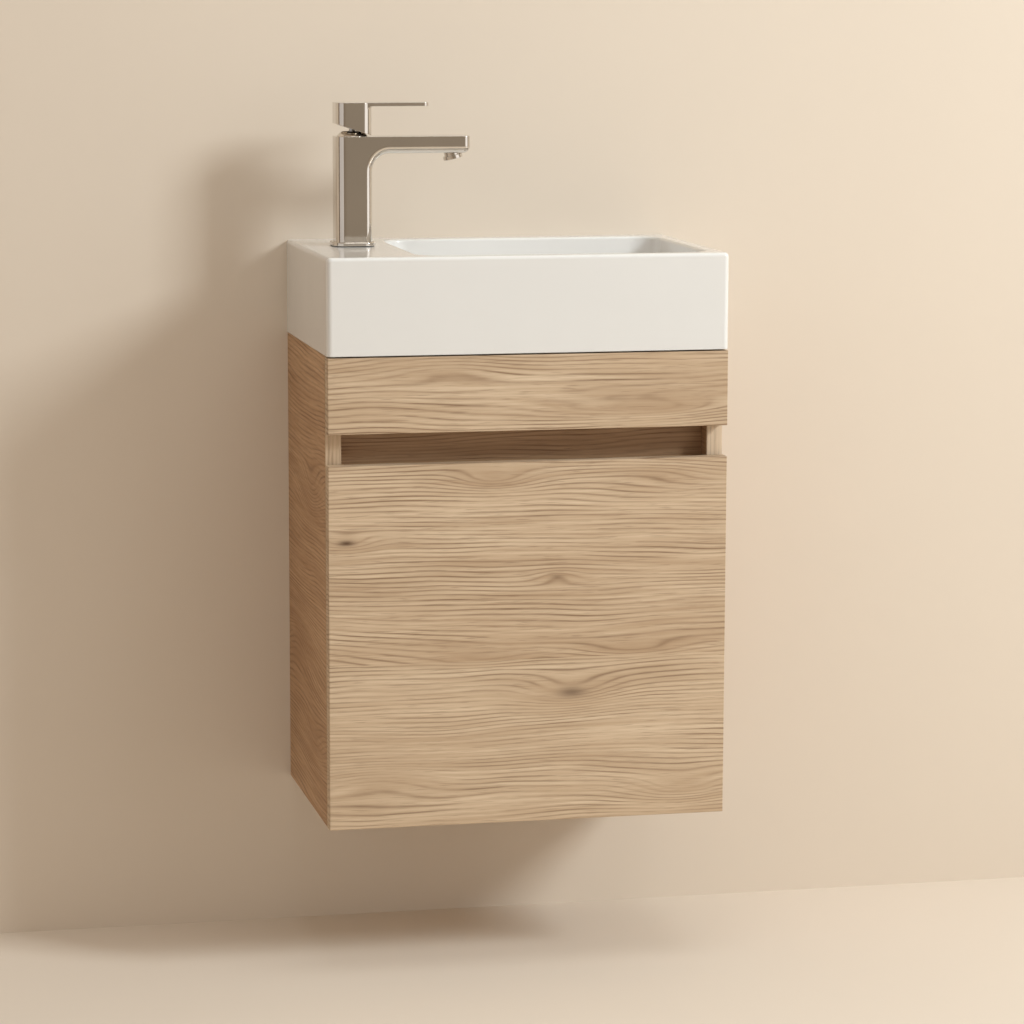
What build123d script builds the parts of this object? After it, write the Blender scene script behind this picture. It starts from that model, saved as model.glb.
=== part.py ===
from build123d import *
import math
import os

os.makedirs("parts", exist_ok=True)

# Wall-hung vanity unit: an oak-effect cabinet with one door, a ceramic basin and a lever tap.
# The frame: X to the right, Y from the room to the wall, Z up, in millimetres.
# The origin is the centre of the four wall screws, on the wall's face.

# Whole unit
UNIT_WIDTH = 400.0
UNIT_DEPTH = 250.0
BASIN_HEIGHT = 95.0
CARCASS_HEIGHT = 466.0
HANGER_DROP = 45.0

# Boards
BOARD = 16.0
SIDE_INSET = 0.5
FRONT_GAP = 2.5
RAIL_SETBACK = 12.0
EDGE_ROUND = 0.6

# Fronts
FASCIA_HEIGHT = 74.0
BASIN_SHADOW_GAP = 1.5
FINGER_GAP = 31.0
FINGER_DEPTH = 19.0
RECESS_LAP = 25.0

# Back rails and shelf
TOP_RAIL_HEIGHT = 120.0
BOTTOM_RAIL_HEIGHT = 80.0
SHELF_HEIGHT = 186.0
SHELF_SIDE_CLEAR = 0.75
SHELF_FRONT_CLEAR = 8.0
SHELF_BACK_CLEAR = 4.0
SHELF_PIN_R = 2.5
SHELF_PIN_DEPTH = 8.0
SHELF_PIN_REACH = 8.0
SHELF_PIN_INSET = 30.0

# Cam locks, cam bolts and dowels
CAM_R = 7.5
CAM_DEPTH = 12.5
CAM_DISTANCE = 34.0
BOLT_R = 2.5
BOLT_DEPTH = 11.0
BOLT_HEAD_R = 3.4
BOLT_HEAD_LENGTH = 4.0
BOLT_BORE_R = 4.0
DOWEL_R = 4.0
DOWEL_DEPTH = 10.0
DOWEL_REACH = 22.0
JOINT_EDGE = 24.0
DOWEL_STEP = 32.0
TOP_DOWEL_STEP = 19.0
FIT = 0.05

# Wood screws
SCREW_R = 1.75
SCREW_HEAD_R = 3.5
SCREW_LENGTH = 13.0

# Fascia brackets
BRACKET_T = 1.5
BRACKET_LEG = 19.0
BRACKET_HEIGHT = 54.0
BRACKET_SCREW_STEP = 32.0
BRACKET_SCREW_INSET = 11.5

# Wall plates
PLATE_T = 2.5
PLATE_WIDTH = 44.0
PLATE_HEIGHT = 56.0
PLATE_SIDE_CLEAR = 6.0
LIP_GAP = 4.0
LIP_HEIGHT = 9.0
LIP_DROP = 10.0
WALL_HOLE_R = 3.25
WALL_HOLE_INSET = 32.5
WALL_HOLE_STEP_Z = 24.0

# Hangers
HANGER_WIDTH = 18.0
HANGER_DEPTH = 58.0
HANGER_HEIGHT = 56.0
HANGER_WALL = 1.5
HANGER_BACK_CLEAR = 1.0
HANGER_SCREW_STEP = 35.0
HOOK_T = 3.0
HOOK_HEIGHT = 8.0
HOOK_HEEL = 20.0
HOOK_TIP_CLEAR = 0.3
ADJUSTER_R = 3.0
ADJUSTER_HEAD_R = 4.5
ADJUSTER_LENGTH = 14.5
NOTCH_CLEAR = 2.0

# Door hinges
HINGE_INSET = 70.0
PIN_FROM_EDGE = 6.5
PIN_FROM_BACK = 9.0
HINGE_PIN_R = 1.0
PIN_FIT = 0.03
CUP_R = 17.4
CUP_BORE_CLEAR = 0.1
CUP_DEPTH = 12.0
CUP_WALL = 0.8
CUP_FROM_EDGE = 3.0
CUP_FLANGE_T = 1.0
CUP_FLANGE_HEIGHT = 58.0
CUP_FLANGE_REACH = 15.0
CUP_SCREW_STEP = 48.0
CUP_WING_ROUND = 7.6
CUP_SCREW_SHIFT = 6.0
CHEEK_GAP = 0.4
CHEEK_DEPTH = 8.0
CHEEK_LENGTH = 6.5
ARM_T = 2.0
ARM_NOSE = 8.4
ARM_EYE_R = 1.9
ARM_STANDOFF = 6.0
ARM_WIDTH = 15.0
ARM_LENGTH = 66.0
ARM_FLANGE_T = 1.5
MOUNT_BASE_T = 2.0
MOUNT_BASE_HEIGHT = 50.0
MOUNT_BASE_DEPTH = 14.0
MOUNT_RIB_LENGTH = 48.0
MOUNT_LINE = 37.0
MOUNT_SCREW_STEP = 32.0
ARM_SCREW_R = 2.5
ARM_SCREW_HEAD_R = 3.6
ARM_SCREW_HEAD_T = 1.5
ARM_SCREW_STEP = 14.0

# Door bumpers
BUMPER_R = 4.0
BUMPER_CLEAR = 0.2
BUMPER_INSET = 12.0

# Basin
BASIN_CORNER_R = 5.0
BASIN_TOP_ROUND = 4.0
SKIRT = 13.0
BACK_SKIRT = 18.0
DECK = 10.0
TAP_LEDGE = 94.0
BOWL_RIGHT_RIM = 16.0
BOWL_FRONT_RIM = 13.0
BOWL_BACK_RIM = 22.0
BOWL_DEPTH = 72.0
BOWL_CORNER_R = 27.0
BOWL_DRAFT = 5.0
BOWL_FLOOR_ROUND = 20.0
BOWL_RIM_ROUND = 3.0
BOWL_WALL = 10.0
FLOOR_WALL = 12.0

# Waste
WASTE_R = 19.5
WASTE_BORE_R = 17.0
WASTE_HOLE_CLEAR = 2.5
WASTE_FLANGE_R = 32.0
WASTE_FLANGE_T = 2.5
WASTE_SEAL_T = 1.5
SEAL_INSET = 1.0
WASTE_LENGTH = 62.0
WASTE_HUB_R = 6.5
WASTE_HUB_TOP = 14.0
WASTE_HUB_LENGTH = 9.0
WASTE_RIB_T = 2.0
WASTE_RIBS = 3
BACK_NUT_R = 29.0
BACK_NUT_T = 9.0
PLUG_R = 29.0
PLUG_T = 5.0
PLUG_ROUND = 3.0
PLUG_LIFT_CLEAR = 0.3
PLUG_STEM_R = 4.0
PLUG_STEM_LENGTH = 30.0

# Trap
PIPE_R = 16.0
PIPE_WALL = 1.2
TRAP_R = 30.0
TRAP_WALL = 2.5
TRAP_HEAD_HEIGHT = 66.0
TRAP_CUP_HEIGHT = 62.0
TRAP_CUP_ROUND = 12.0
TRAP_CUP_GRIP_R = 33.0
TRAP_CUP_GRIP = 14.0
TRAP_DROP = 82.0
OUTLET_DROP = 24.0
BRANCH_WALL = 2.5
BRANCH_LENGTH = 19.0
UNION_R = 25.0
UNION_LENGTH = 20.0
UNION_WALL = 3.0
UNION_RIBS = 12
UNION_RIB_R = 1.6
OUTLET_PAST_WALL = 25.0
DEPTH_MARK = 1.0
ROSETTE_R = 33.0
ROSETTE_T = 2.0
ROSETTE_DEPTH = 9.0

# Tap, above the basin
TAP_FROM_SIDE = 52.0
TAP_Y = -94.0
TAP_SIDE = 36.0
TAP_BACK_ROUND = 9.5
TAP_FRONT_ROUND = 7.0
TAP_BODY_TOP = 109.0
SPOUT_THICK = 17.0
SPOUT_REACH = 117.5
SPOUT_BEND_R = 18.0
SPOUT_END_ROUND = 6.5
BASE_SIDE = 43.0
BASE_ROUND = 13.0
BASE_T = 3.5
BASE_EDGE_ROUND = 1.0
BASE_HOLE_R = 15.0
BASE_SEAL_T = 0.8
TAP_HOLE_R = 17.5
AERATOR_REACH = 101.5
AERATOR_R = 9.8
AERATOR_TILT = 14.0
AERATOR_SHOW = 6.0
AERATOR_SOCKET = 9.0
AERATOR_BORE_R = 7.0
AERATOR_INSERT_T = 5.0
AERATOR_INSET = 1.0
AERATOR_HOLE_R = 1.2
AERATOR_HOLE_RING = 4.2
AERATOR_HOLES = 6
WATERWAY_R = 4.5

# Cartridge
CHAMBER_R = 13.2
CHAMBER_DEPTH = 34.0
CARTRIDGE_CLEAR = 0.1
CARTRIDGE_WALL = 1.9
CARTRIDGE_BASE_T = 7.0
DISC_T = 3.5
PORT_R = 2.0
PORT_SHIFT = 4.0
MOVING_DISC_R = 7.5
DISC_GAP = 0.05
CARRIER_CLEAR = 0.1
CARRIER_SLOT = 7.0
LEVER_PIVOT_DROP = 11.0
LEVER_PIN_R = 1.5
STEM_R = 3.0
STEM_ROOF = 7.0
STEM_TIP_R = 1.5
STEM_NECK_R = 1.1
STEM_TIP_DROP = 10.0
TIP_PLAY = 0.35
NUT_T = 6.0
NUT_BORE_R = 9.6
COLLAR_BALL_R = 19.0
COLLAR_RIM = 1.0

# Handle
HANDLE_TOP = 142.5
HANDLE_GAP = 1.0
HANDLE_CUT_ANGLE = 18.0
HANDLE_CAVITY_R = 15.3
HANDLE_CAVITY_TOP = 121.0
LEVER_T = 3.5
LEVER_REACH = 76.0
LEVER_TIP_WIDTH = 26.0
LEVER_ROUND = 5.0
LEVER_INSET = 1.0
LEVER_ROOT = 3.0
GRUB_R = 2.0
GRUB_LENGTH = 8.0
INDEX_R = 3.2
INDEX_T = 1.2
INDEX_DROP = 17.0

# Tap fixing below the basin
STUD_R = 3.0
STUD_LENGTH = 62.0
STUD_SET = 8.0
STUD_SHIFT = 9.0
INLET_R = 5.0
INLET_DEPTH = 14.0
INLET_SHIFT_X = 7.5
INLET_SHIFT_Y = 4.0
WASHER_R = 24.0
WASHER_T = 3.0
CLAMP_T = 2.0
CLAMP_SLOT = 26.0
CLAMP_BRIDGE = 2.0
TAP_NUT_R = 7.0
TAP_NUT_T = 8.0

# Places that follow from the sizes above
CARCASS_TOP = HANGER_DROP
BASIN_TOP = CARCASS_TOP + BASIN_HEIGHT
CARCASS_BOTTOM = CARCASS_TOP - CARCASS_HEIGHT
OUTER_X = UNIT_WIDTH / 2 - SIDE_INSET
INNER_X = OUTER_X - BOARD
FRONT_Y = -UNIT_DEPTH
FRONT_BACK_Y = FRONT_Y + BOARD
CARCASS_FRONT_Y = FRONT_BACK_Y + FRONT_GAP
FLOOR_TOP = CARCASS_BOTTOM + BOARD
FASCIA_TOP = CARCASS_TOP - BASIN_SHADOW_GAP
FASCIA_BOTTOM = FASCIA_TOP - FASCIA_HEIGHT
DOOR_TOP = FASCIA_BOTTOM - FINGER_GAP
RECESS_FRONT_Y = CARCASS_FRONT_Y + FINGER_DEPTH
RECESS_BACK_Y = RECESS_FRONT_Y + BOARD
RECESS_BOTTOM = DOOR_TOP - RECESS_LAP
RAIL_BACK_Y = -RAIL_SETBACK
RAIL_FRONT_Y = RAIL_BACK_Y - BOARD
TOP_RAIL_BOTTOM = CARCASS_TOP - TOP_RAIL_HEIGHT
BOTTOM_RAIL_TOP = FLOOR_TOP + BOTTOM_RAIL_HEIGHT
SHELF_BOTTOM = FLOOR_TOP + SHELF_HEIGHT - BOARD
SHELF_FRONT_Y = RECESS_FRONT_Y + SHELF_FRONT_CLEAR
SHELF_BACK_Y = RAIL_FRONT_Y - SHELF_BACK_CLEAR
LIP_TOP = PLATE_HEIGHT / 2 + LIP_HEIGHT - LIP_DROP
WALL_HOLE_X = INNER_X - WALL_HOLE_INSET
TAP_X = -UNIT_WIDTH / 2 + TAP_FROM_SIDE
BOWL_LEFT_X = -UNIT_WIDTH / 2 + TAP_LEDGE
BOWL_RIGHT_X = UNIT_WIDTH / 2 - BOWL_RIGHT_RIM
BOWL_FRONT_Y = FRONT_Y + BOWL_FRONT_RIM
BOWL_BACK_Y = -BOWL_BACK_RIM
DRAIN_X = (BOWL_LEFT_X + BOWL_RIGHT_X) / 2
DRAIN_Y = (BOWL_FRONT_Y + BOWL_BACK_Y) / 2
BOWL_FLOOR = BASIN_TOP - BOWL_DEPTH
FLANGE_SEAT = BOWL_FLOOR - WASTE_FLANGE_T - WASTE_SEAL_T
WASTE_BOTTOM = BOWL_FLOOR - WASTE_LENGTH
TRAP_TOP = WASTE_BOTTOM - TRAP_DROP
OUTLET_Z = TRAP_TOP - OUTLET_DROP
TRAP_BOTTOM = TRAP_TOP - TRAP_HEAD_HEIGHT
HINGE_LEVELS = {"upper": DOOR_TOP - HINGE_INSET, "lower": CARCASS_BOTTOM + HINGE_INSET}
PIN_X = OUTER_X - PIN_FROM_EDGE
PIN_Y = FRONT_BACK_Y - PIN_FROM_BACK
CUP_X = OUTER_X - CUP_FROM_EDGE - CUP_R
ARM_X = INNER_X - ARM_STANDOFF
MOUNT_Y = CARCASS_FRONT_Y + MOUNT_LINE
PIVOT_Z = BASIN_TOP + TAP_BODY_TOP - LEVER_PIVOT_DROP
BODY_TOP_Z = BASIN_TOP + TAP_BODY_TOP
CHAMBER_FLOOR = BODY_TOP_Z - CHAMBER_DEPTH
DISC_PLANE = CHAMBER_FLOOR + CARTRIDGE_BASE_T + DISC_T
CARRIER_BOTTOM = DISC_PLANE + DISC_T + 2 * DISC_GAP
CARTRIDGE_R = CHAMBER_R - CARTRIDGE_CLEAR
HOUSING_TOP = BODY_TOP_Z - NUT_T
HOUSING_INNER_R = CARTRIDGE_R - CARTRIDGE_WALL
CARRIER_R = HOUSING_INNER_R - CARRIER_CLEAR
SIDES = {"left": -1, "right": 1}
STANDING = (Align.CENTER, Align.CENTER, Align.MIN)


def slab(x, y, z):
    """A block between two values on each axis."""
    block = Box(x[1] - x[0], y[1] - y[0], z[1] - z[0])
    return Pos(sum(x) / 2, sum(y) / 2, sum(z) / 2) * block


def rod(start, direction, radius, length):
    """A round rod from a point along a direction."""
    return Plane(origin=start, z_dir=direction) * Cylinder(radius, length, align=STANDING)


def ring(start, direction, outer, inner, length):
    """A tube from a point along a direction."""
    return rod(start, direction, outer, length) - rod(start, direction, inner, length)


def turned(points, centre):
    """A solid turned about the vertical through a centre, from its half outline (radius, height)."""
    return Pos(*centre) * revolve(upright_face(points), Axis.Z)


def upright_face(points):
    """A face in the XZ plane from its corners (x, z)."""
    return make_face(Polyline(*[(x, 0, z) for x, z in points], close=True))


def side_face(points):
    """A face in the YZ plane from its corners (y, z)."""
    return make_face(Polyline(*[(0, y, z) for y, z in points], close=True))


def mirrored(shape):
    """The same piece on the other side of the unit."""
    return mirror(shape, Plane.YZ)


def write(name, *solids):
    """Write one node, which may hold several separate solids."""
    pieces = [solid for shape in solids for solid in shape.solids()]
    export_step(pieces[0] if len(pieces) == 1 else Compound(children=pieces), f"parts/{name}.step")


# Fasteners

def wood_screw(head, direction, play=0.0):
    """A countersunk screw: its head's face at a point, its shank along a direction."""
    cone = SCREW_HEAD_R - SCREW_R
    tip = SCREW_LENGTH + play
    points = [(0, 0), (SCREW_HEAD_R + play, 0), (SCREW_R + play, cone), (SCREW_R + play, tip), (0, tip)]
    return Plane(origin=head, z_dir=direction) * revolve(upright_face(points), Axis.Z)


def joint_points():
    """Each board's joints: where it meets the side panel, and the way that its cam is set in."""
    rails = {
        "back_rail_top": ((RAIL_FRONT_Y + RAIL_BACK_Y) / 2, TOP_RAIL_BOTTOM + JOINT_EDGE / 2, RAIL_FRONT_Y),
        "back_rail_bottom": ((RAIL_FRONT_Y + RAIL_BACK_Y) / 2, FLOOR_TOP + JOINT_EDGE, RAIL_FRONT_Y),
        "recess_rail": ((RECESS_FRONT_Y + RECESS_BACK_Y) / 2, RECESS_BOTTOM + JOINT_EDGE, RECESS_BACK_Y),
    }
    joints = []
    for board, (y, z, face) in rails.items():
        into = (0, 1, 0) if face == RAIL_FRONT_Y else (0, -1, 0)
        joints.append((board, y, z, face, into))
    for y in (CARCASS_FRONT_Y + JOINT_EDGE, RAIL_FRONT_Y - JOINT_EDGE):
        joints.append(("bottom_panel", y, CARCASS_BOTTOM + BOARD / 2, CARCASS_BOTTOM, (0, 0, 1)))
    return joints


def cam_bolt(side, y, z, play=0.0):
    """A cam bolt on the side panel's inner face, reaching into the board."""
    reach = CAM_DISTANCE - BOLT_HEAD_LENGTH
    start = (side * (INNER_X + BOLT_DEPTH + play), y, z)
    shaft = rod(start, (-side, 0, 0), BOLT_R + play, BOLT_DEPTH + reach + play)
    head = rod((side * (INNER_X - reach), y, z), (-side, 0, 0), BOLT_HEAD_R + play, BOLT_HEAD_LENGTH)
    return shaft + head


def cam_place(side, y, z, face, into):
    """The point where a cam's axis leaves its board."""
    x = side * (INNER_X - CAM_DISTANCE)
    return (x, face, z) if into[2] == 0 else (x, y, face)


def bolt_bore(side, y, z):
    """The bore in a board's end for the bolt."""
    return rod((side * INNER_X, y, z), (-side, 0, 0), BOLT_BORE_R, CAM_DISTANCE)


def cam(side, y, z, face, into):
    """A cam with the open side that takes the bolt's head."""
    disc = rod(cam_place(side, y, z, face, into), into, CAM_R - FIT, CAM_DEPTH)
    return disc - bolt_bore(side, y, z)


def dowel(side, y, z, play=0.0):
    """A wood dowel across a joint, beside the cam bolt."""
    start = (side * (INNER_X + DOWEL_DEPTH + play), y, z)
    return rod(start, (-side, 0, 0), DOWEL_R + play, DOWEL_DEPTH + DOWEL_REACH + 2 * play)


def dowel_points():
    """The dowels: one in each end of each rail."""
    points = []
    for board, y, z, face, into in joint_points():
        if into[2] == 0:
            step = DOWEL_STEP if board != "back_rail_top" else TOP_DOWEL_STEP
            points.append((board, y, z + step))
    return points


def joint_cuts(board, side):
    """All that a board's end loses to its cams, bolts and dowels."""
    cuts = []
    for name, y, z, face, into in joint_points():
        if name == board:
            cuts.append(bolt_bore(side, y, z))
            cuts.append(rod(cam_place(side, y, z, face, into), into, CAM_R, CAM_DEPTH + FIT))
    cuts += [dowel(side, y, z, FIT) for name, y, z in dowel_points() if name == board]
    return cuts


def bracket_screws(side):
    """Two screws into the side panel and two into the fascia."""
    middle = FASCIA_TOP - FASCIA_HEIGHT / 2
    leg_y = FRONT_BACK_Y + BRACKET_SCREW_INSET
    leg_x = INNER_X - BRACKET_SCREW_INSET
    screws = []
    for z in (middle - BRACKET_SCREW_STEP / 2, middle + BRACKET_SCREW_STEP / 2):
        screws.append(((side * (INNER_X - BRACKET_T), leg_y, z), (side, 0, 0)))
        screws.append(((side * leg_x, FRONT_BACK_Y + BRACKET_T, z), (0, -1, 0)))
    return screws


def hanger_screws(side):
    """Three screws through the hanger's flank into the side panel."""
    front = -RAIL_SETBACK - HANGER_DEPTH + 2 * SCREW_HEAD_R + HANGER_BACK_CLEAR
    back = front + HANGER_SCREW_STEP
    low = -HANGER_HEIGHT / 2 + 2 * SCREW_HEAD_R
    x = side * (INNER_X - HANGER_WALL)
    return [((x, y, z), (side, 0, 0)) for y, z in ((front, low), (back, low), (front, -low))]


def mount_screws():
    """Two screws through each hinge plate into the right side panel."""
    levels = [z + s * MOUNT_SCREW_STEP / 2 for z in HINGE_LEVELS.values() for s in (-1, 1)]
    return [((INNER_X - MOUNT_BASE_T, MOUNT_Y, z), (1, 0, 0)) for z in levels]


def all_screws(side):
    """Every wood screw of one side."""
    screws = bracket_screws(side) + hanger_screws(side)
    return screws + (mount_screws() if side > 0 else [])


def shelf_pin(side, y, play=0.0):
    """A shelf pin, half in the side panel."""
    z = SHELF_BOTTOM - SHELF_PIN_R
    start = (side * (INNER_X + SHELF_PIN_DEPTH + play), y, z)
    return rod(start, (-side, 0, 0), SHELF_PIN_R + play, SHELF_PIN_DEPTH + SHELF_PIN_REACH + play)


def shelf_pin_places():
    """How far along the shelf its pins stand."""
    return (SHELF_FRONT_Y + SHELF_PIN_INSET, SHELF_BACK_Y - SHELF_PIN_INSET)


# Cabinet

def side_panel(side):
    """A side panel with the holes for all that is fixed to it."""
    panel = slab((-OUTER_X, -INNER_X), (CARCASS_FRONT_Y, 0), (CARCASS_BOTTOM, CARCASS_TOP))
    panel = panel if side < 0 else mirrored(panel)
    panel = fillet(panel.edges().filter_by(Axis.Z).group_by(Axis.Y)[0], EDGE_ROUND)
    cuts = [cam_bolt(side, y, z, FIT) for _, y, z, _, _ in joint_points()]
    cuts += [dowel(side, y, z, FIT) for _, y, z in dowel_points()]
    cuts += [wood_screw(head, way, FIT) for head, way in all_screws(side)]
    cuts += [shelf_pin(side, y, FIT) for y in shelf_pin_places()]
    return panel - cuts


def cross_board(name, y, z):
    """A board between the side panels, with its joints cut at both ends."""
    board = slab((-INNER_X, INNER_X), y, z)
    return board - joint_cuts(name, -1) - joint_cuts(name, 1)


def back_rail_top():
    """The rail behind the basin, notched at both ends for the hangers."""
    rail = cross_board("back_rail_top", (RAIL_FRONT_Y, RAIL_BACK_Y), (TOP_RAIL_BOTTOM, CARCASS_TOP))
    inner = INNER_X - HANGER_WIDTH - NOTCH_CLEAR
    low = -HANGER_HEIGHT / 2 - NOTCH_CLEAR
    notch = slab((inner, INNER_X), (RAIL_FRONT_Y, RAIL_BACK_Y), (low, CARCASS_TOP))
    return rail - notch - mirrored(notch)


def front_board(bottom, top):
    """A front: its long edges are eased as an edge band is."""
    board = slab((-OUTER_X, OUTER_X), (FRONT_Y, FRONT_BACK_Y), (bottom, top))
    return fillet(board.edges().filter_by(Axis.Y, reverse=True), EDGE_ROUND)


def front_fascia():
    """The fixed front above the finger gap."""
    screws = [wood_screw(head, way, FIT) for s in SIDES.values() for head, way in bracket_screws(s)]
    return front_board(FASCIA_BOTTOM, FASCIA_TOP) - screws


def fascia_bracket(side):
    """An angle that holds the fascia to a side panel."""
    middle = FASCIA_TOP - FASCIA_HEIGHT / 2
    left, front = INNER_X - BRACKET_LEG, FRONT_BACK_Y
    back = front + BRACKET_LEG
    outline = [(left, front), (INNER_X, front), (INNER_X, back), (INNER_X - BRACKET_T, back),
               (INNER_X - BRACKET_T, front + BRACKET_T), (left, front + BRACKET_T)]
    plan = make_face(Polyline(*outline, close=True))
    angle = Pos(0, 0, middle - BRACKET_HEIGHT / 2) * extrude(plan, BRACKET_HEIGHT)
    angle = angle if side > 0 else mirrored(angle)
    return angle - [wood_screw(head, way, FIT) for head, way in bracket_screws(side)]


def shelf():
    """The loose shelf on its four pins."""
    half = INNER_X - SHELF_SIDE_CLEAR
    return slab((-half, half), (SHELF_FRONT_Y, SHELF_BACK_Y), (SHELF_BOTTOM, SHELF_BOTTOM + BOARD))


# Wall fixing

def wall_plate(side):
    """A steel plate screwed to the wall, with a standing lip that the hook hangs on."""
    half = PLATE_HEIGHT / 2
    step = -PLATE_T - LIP_GAP
    low = LIP_TOP - LIP_HEIGHT
    outline = [(0, -half), (0, low + PLATE_T), (step, low + PLATE_T), (step, LIP_TOP),
               (step - PLATE_T, LIP_TOP), (step - PLATE_T, low), (-PLATE_T, low), (-PLATE_T, -half)]
    right = INNER_X - PLATE_SIDE_CLEAR
    plate = Pos(right, 0, 0) * extrude(side_face(outline), PLATE_WIDTH, dir=(-1, 0, 0))
    for z in (-WALL_HOLE_STEP_Z / 2, WALL_HOLE_STEP_Z / 2):
        plate -= rod((WALL_HOLE_X, -PLATE_T - LIP_GAP, z), (0, 1, 0), WALL_HOLE_R, PLATE_T + LIP_GAP)
    return plate if side > 0 else mirrored(plate)


def hanger_box(side):
    """The hanger's housing: a folded box, open at the back and the top."""
    x = (INNER_X - HANGER_WIDTH, INNER_X)
    y = (-RAIL_SETBACK - HANGER_DEPTH, -RAIL_SETBACK - HANGER_BACK_CLEAR)
    z = (-HANGER_HEIGHT / 2, HANGER_HEIGHT / 2)
    inner_x = (x[0] + HANGER_WALL, x[1] - HANGER_WALL)
    box = slab(x, y, z) - slab(inner_x, (y[0] + HANGER_WALL, y[1]), (z[0] + HANGER_WALL, z[1]))
    box = box if side > 0 else mirrored(box)
    return box - [adjuster(side, FIT)] - [wood_screw(head, way, FIT) for head, way in hanger_screws(side)]


def hanger_hook(side):
    """The hook: a steel bar in the housing that hangs over the plate's lip."""
    middle = INNER_X - HANGER_WIDTH / 2
    front = -RAIL_SETBACK - HANGER_DEPTH + HANGER_WALL + HOOK_TIP_CLEAR
    tip_back = -PLATE_T - HOOK_TIP_CLEAR
    tip_front = -PLATE_T - LIP_GAP + HOOK_TIP_CLEAR
    foot = LIP_TOP - LIP_HEIGHT + PLATE_T + HOOK_TIP_CLEAR
    heel = -HANGER_HEIGHT / 2 + HANGER_WALL + HOOK_TIP_CLEAR
    heel_back = front + HOOK_HEEL
    top = LIP_TOP + HOOK_HEIGHT
    outline = [(tip_back, top), (tip_back, foot), (tip_front, foot), (tip_front, LIP_TOP),
               (heel_back, LIP_TOP), (heel_back, heel), (front, heel), (front, top)]
    hook = Pos(middle + HOOK_T / 2, 0, 0) * extrude(side_face(outline), HOOK_T, dir=(-1, 0, 0))
    hook = hook if side > 0 else mirrored(hook)
    return hook - adjuster(side, FIT)


def adjuster(side, play=0.0):
    """The screw that draws the hook in, through the housing's front."""
    middle = side * (INNER_X - HANGER_WIDTH / 2)
    front = -RAIL_SETBACK - HANGER_DEPTH
    shank = rod((middle, front, 0), (0, 1, 0), ADJUSTER_R + play, ADJUSTER_LENGTH + play)
    head = rod((middle, front, 0), (0, -1, 0), ADJUSTER_HEAD_R, HANGER_WALL)
    return shank if play else shank + head


# Door and hinges

def cup_screws(level):
    """The two screws of one hinge cup."""
    x = CUP_X - CUP_SCREW_SHIFT
    face = FRONT_BACK_Y + CUP_FLANGE_T
    return [((x, face, level + s * CUP_SCREW_STEP / 2), (0, -1, 0)) for s in (-1, 1)]


def door_panel():
    """The door, bored for the hinge cups."""
    door = front_board(CARCASS_BOTTOM, DOOR_TOP)
    cuts = []
    for level in HINGE_LEVELS.values():
        mouth = (CUP_X, FRONT_BACK_Y, level)
        cuts.append(rod(mouth, (0, -1, 0), CUP_R + CUP_BORE_CLEAR, CUP_DEPTH + CUP_BORE_CLEAR))
        cuts += [wood_screw(head, way, FIT) for head, way in cup_screws(level)]
    return door - cuts


def cup_flange(level):
    """The cup's flange, with a wing above and below the bore for each screw."""
    right = OUTER_X - CUP_FROM_EDGE
    left = CUP_X - CUP_FLANGE_REACH
    y = (FRONT_BACK_Y, FRONT_BACK_Y + CUP_FLANGE_T)
    half = CUP_FLANGE_HEIGHT / 2
    plate = slab((left, right), y, (level - CUP_R, level + CUP_R))
    wing_x = CUP_X - CUP_SCREW_SHIFT
    wing = slab((left, 2 * wing_x - left), y, (level - half, level + half))
    wing = fillet(wing.edges().filter_by(Axis.Y), CUP_WING_ROUND)
    return plate + wing


def hinge_cup(level):
    """A pressed cup with two cheeks that hold the hinge pin."""
    start = (CUP_X, FRONT_BACK_Y, level)
    cup = rod(start, (0, -1, 0), CUP_R, CUP_DEPTH) + cup_flange(level)
    mouth = (CUP_X, FRONT_BACK_Y + CUP_FLANGE_T, level)
    cup -= rod(mouth, (0, -1, 0), CUP_R - CUP_WALL, CUP_DEPTH + CUP_FLANGE_T - CUP_WALL)
    near = ARM_NOSE / 2 + CHEEK_GAP
    cheek_y = (FRONT_BACK_Y - CUP_DEPTH, FRONT_BACK_Y - CUP_DEPTH + CHEEK_DEPTH)
    cheeks = slab((PIN_X - CHEEK_LENGTH / 2, OUTER_X), cheek_y, (level - CUP_R, level + CUP_R))
    cheeks -= slab((0, OUTER_X), (FRONT_Y, FRONT_BACK_Y), (level - near, level + near))
    cheeks &= rod(start, (0, -1, 0), CUP_R - CUP_WALL / 2, CUP_DEPTH - CUP_WALL / 2)
    cup = cup + cheeks - hinge_pin(level, PIN_FIT)
    return cup - [wood_screw(head, way, FIT) for head, way in cup_screws(level)]


def hinge_pin(level, play=0.0):
    """The pin that the door turns on, held in the cup's cheeks."""
    half = ARM_NOSE / 2 + CHEEK_GAP + CHEEK_LENGTH / 2 + play
    return rod((PIN_X, PIN_Y, level - half), (0, 0, 1), HINGE_PIN_R + play, 2 * half)


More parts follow.
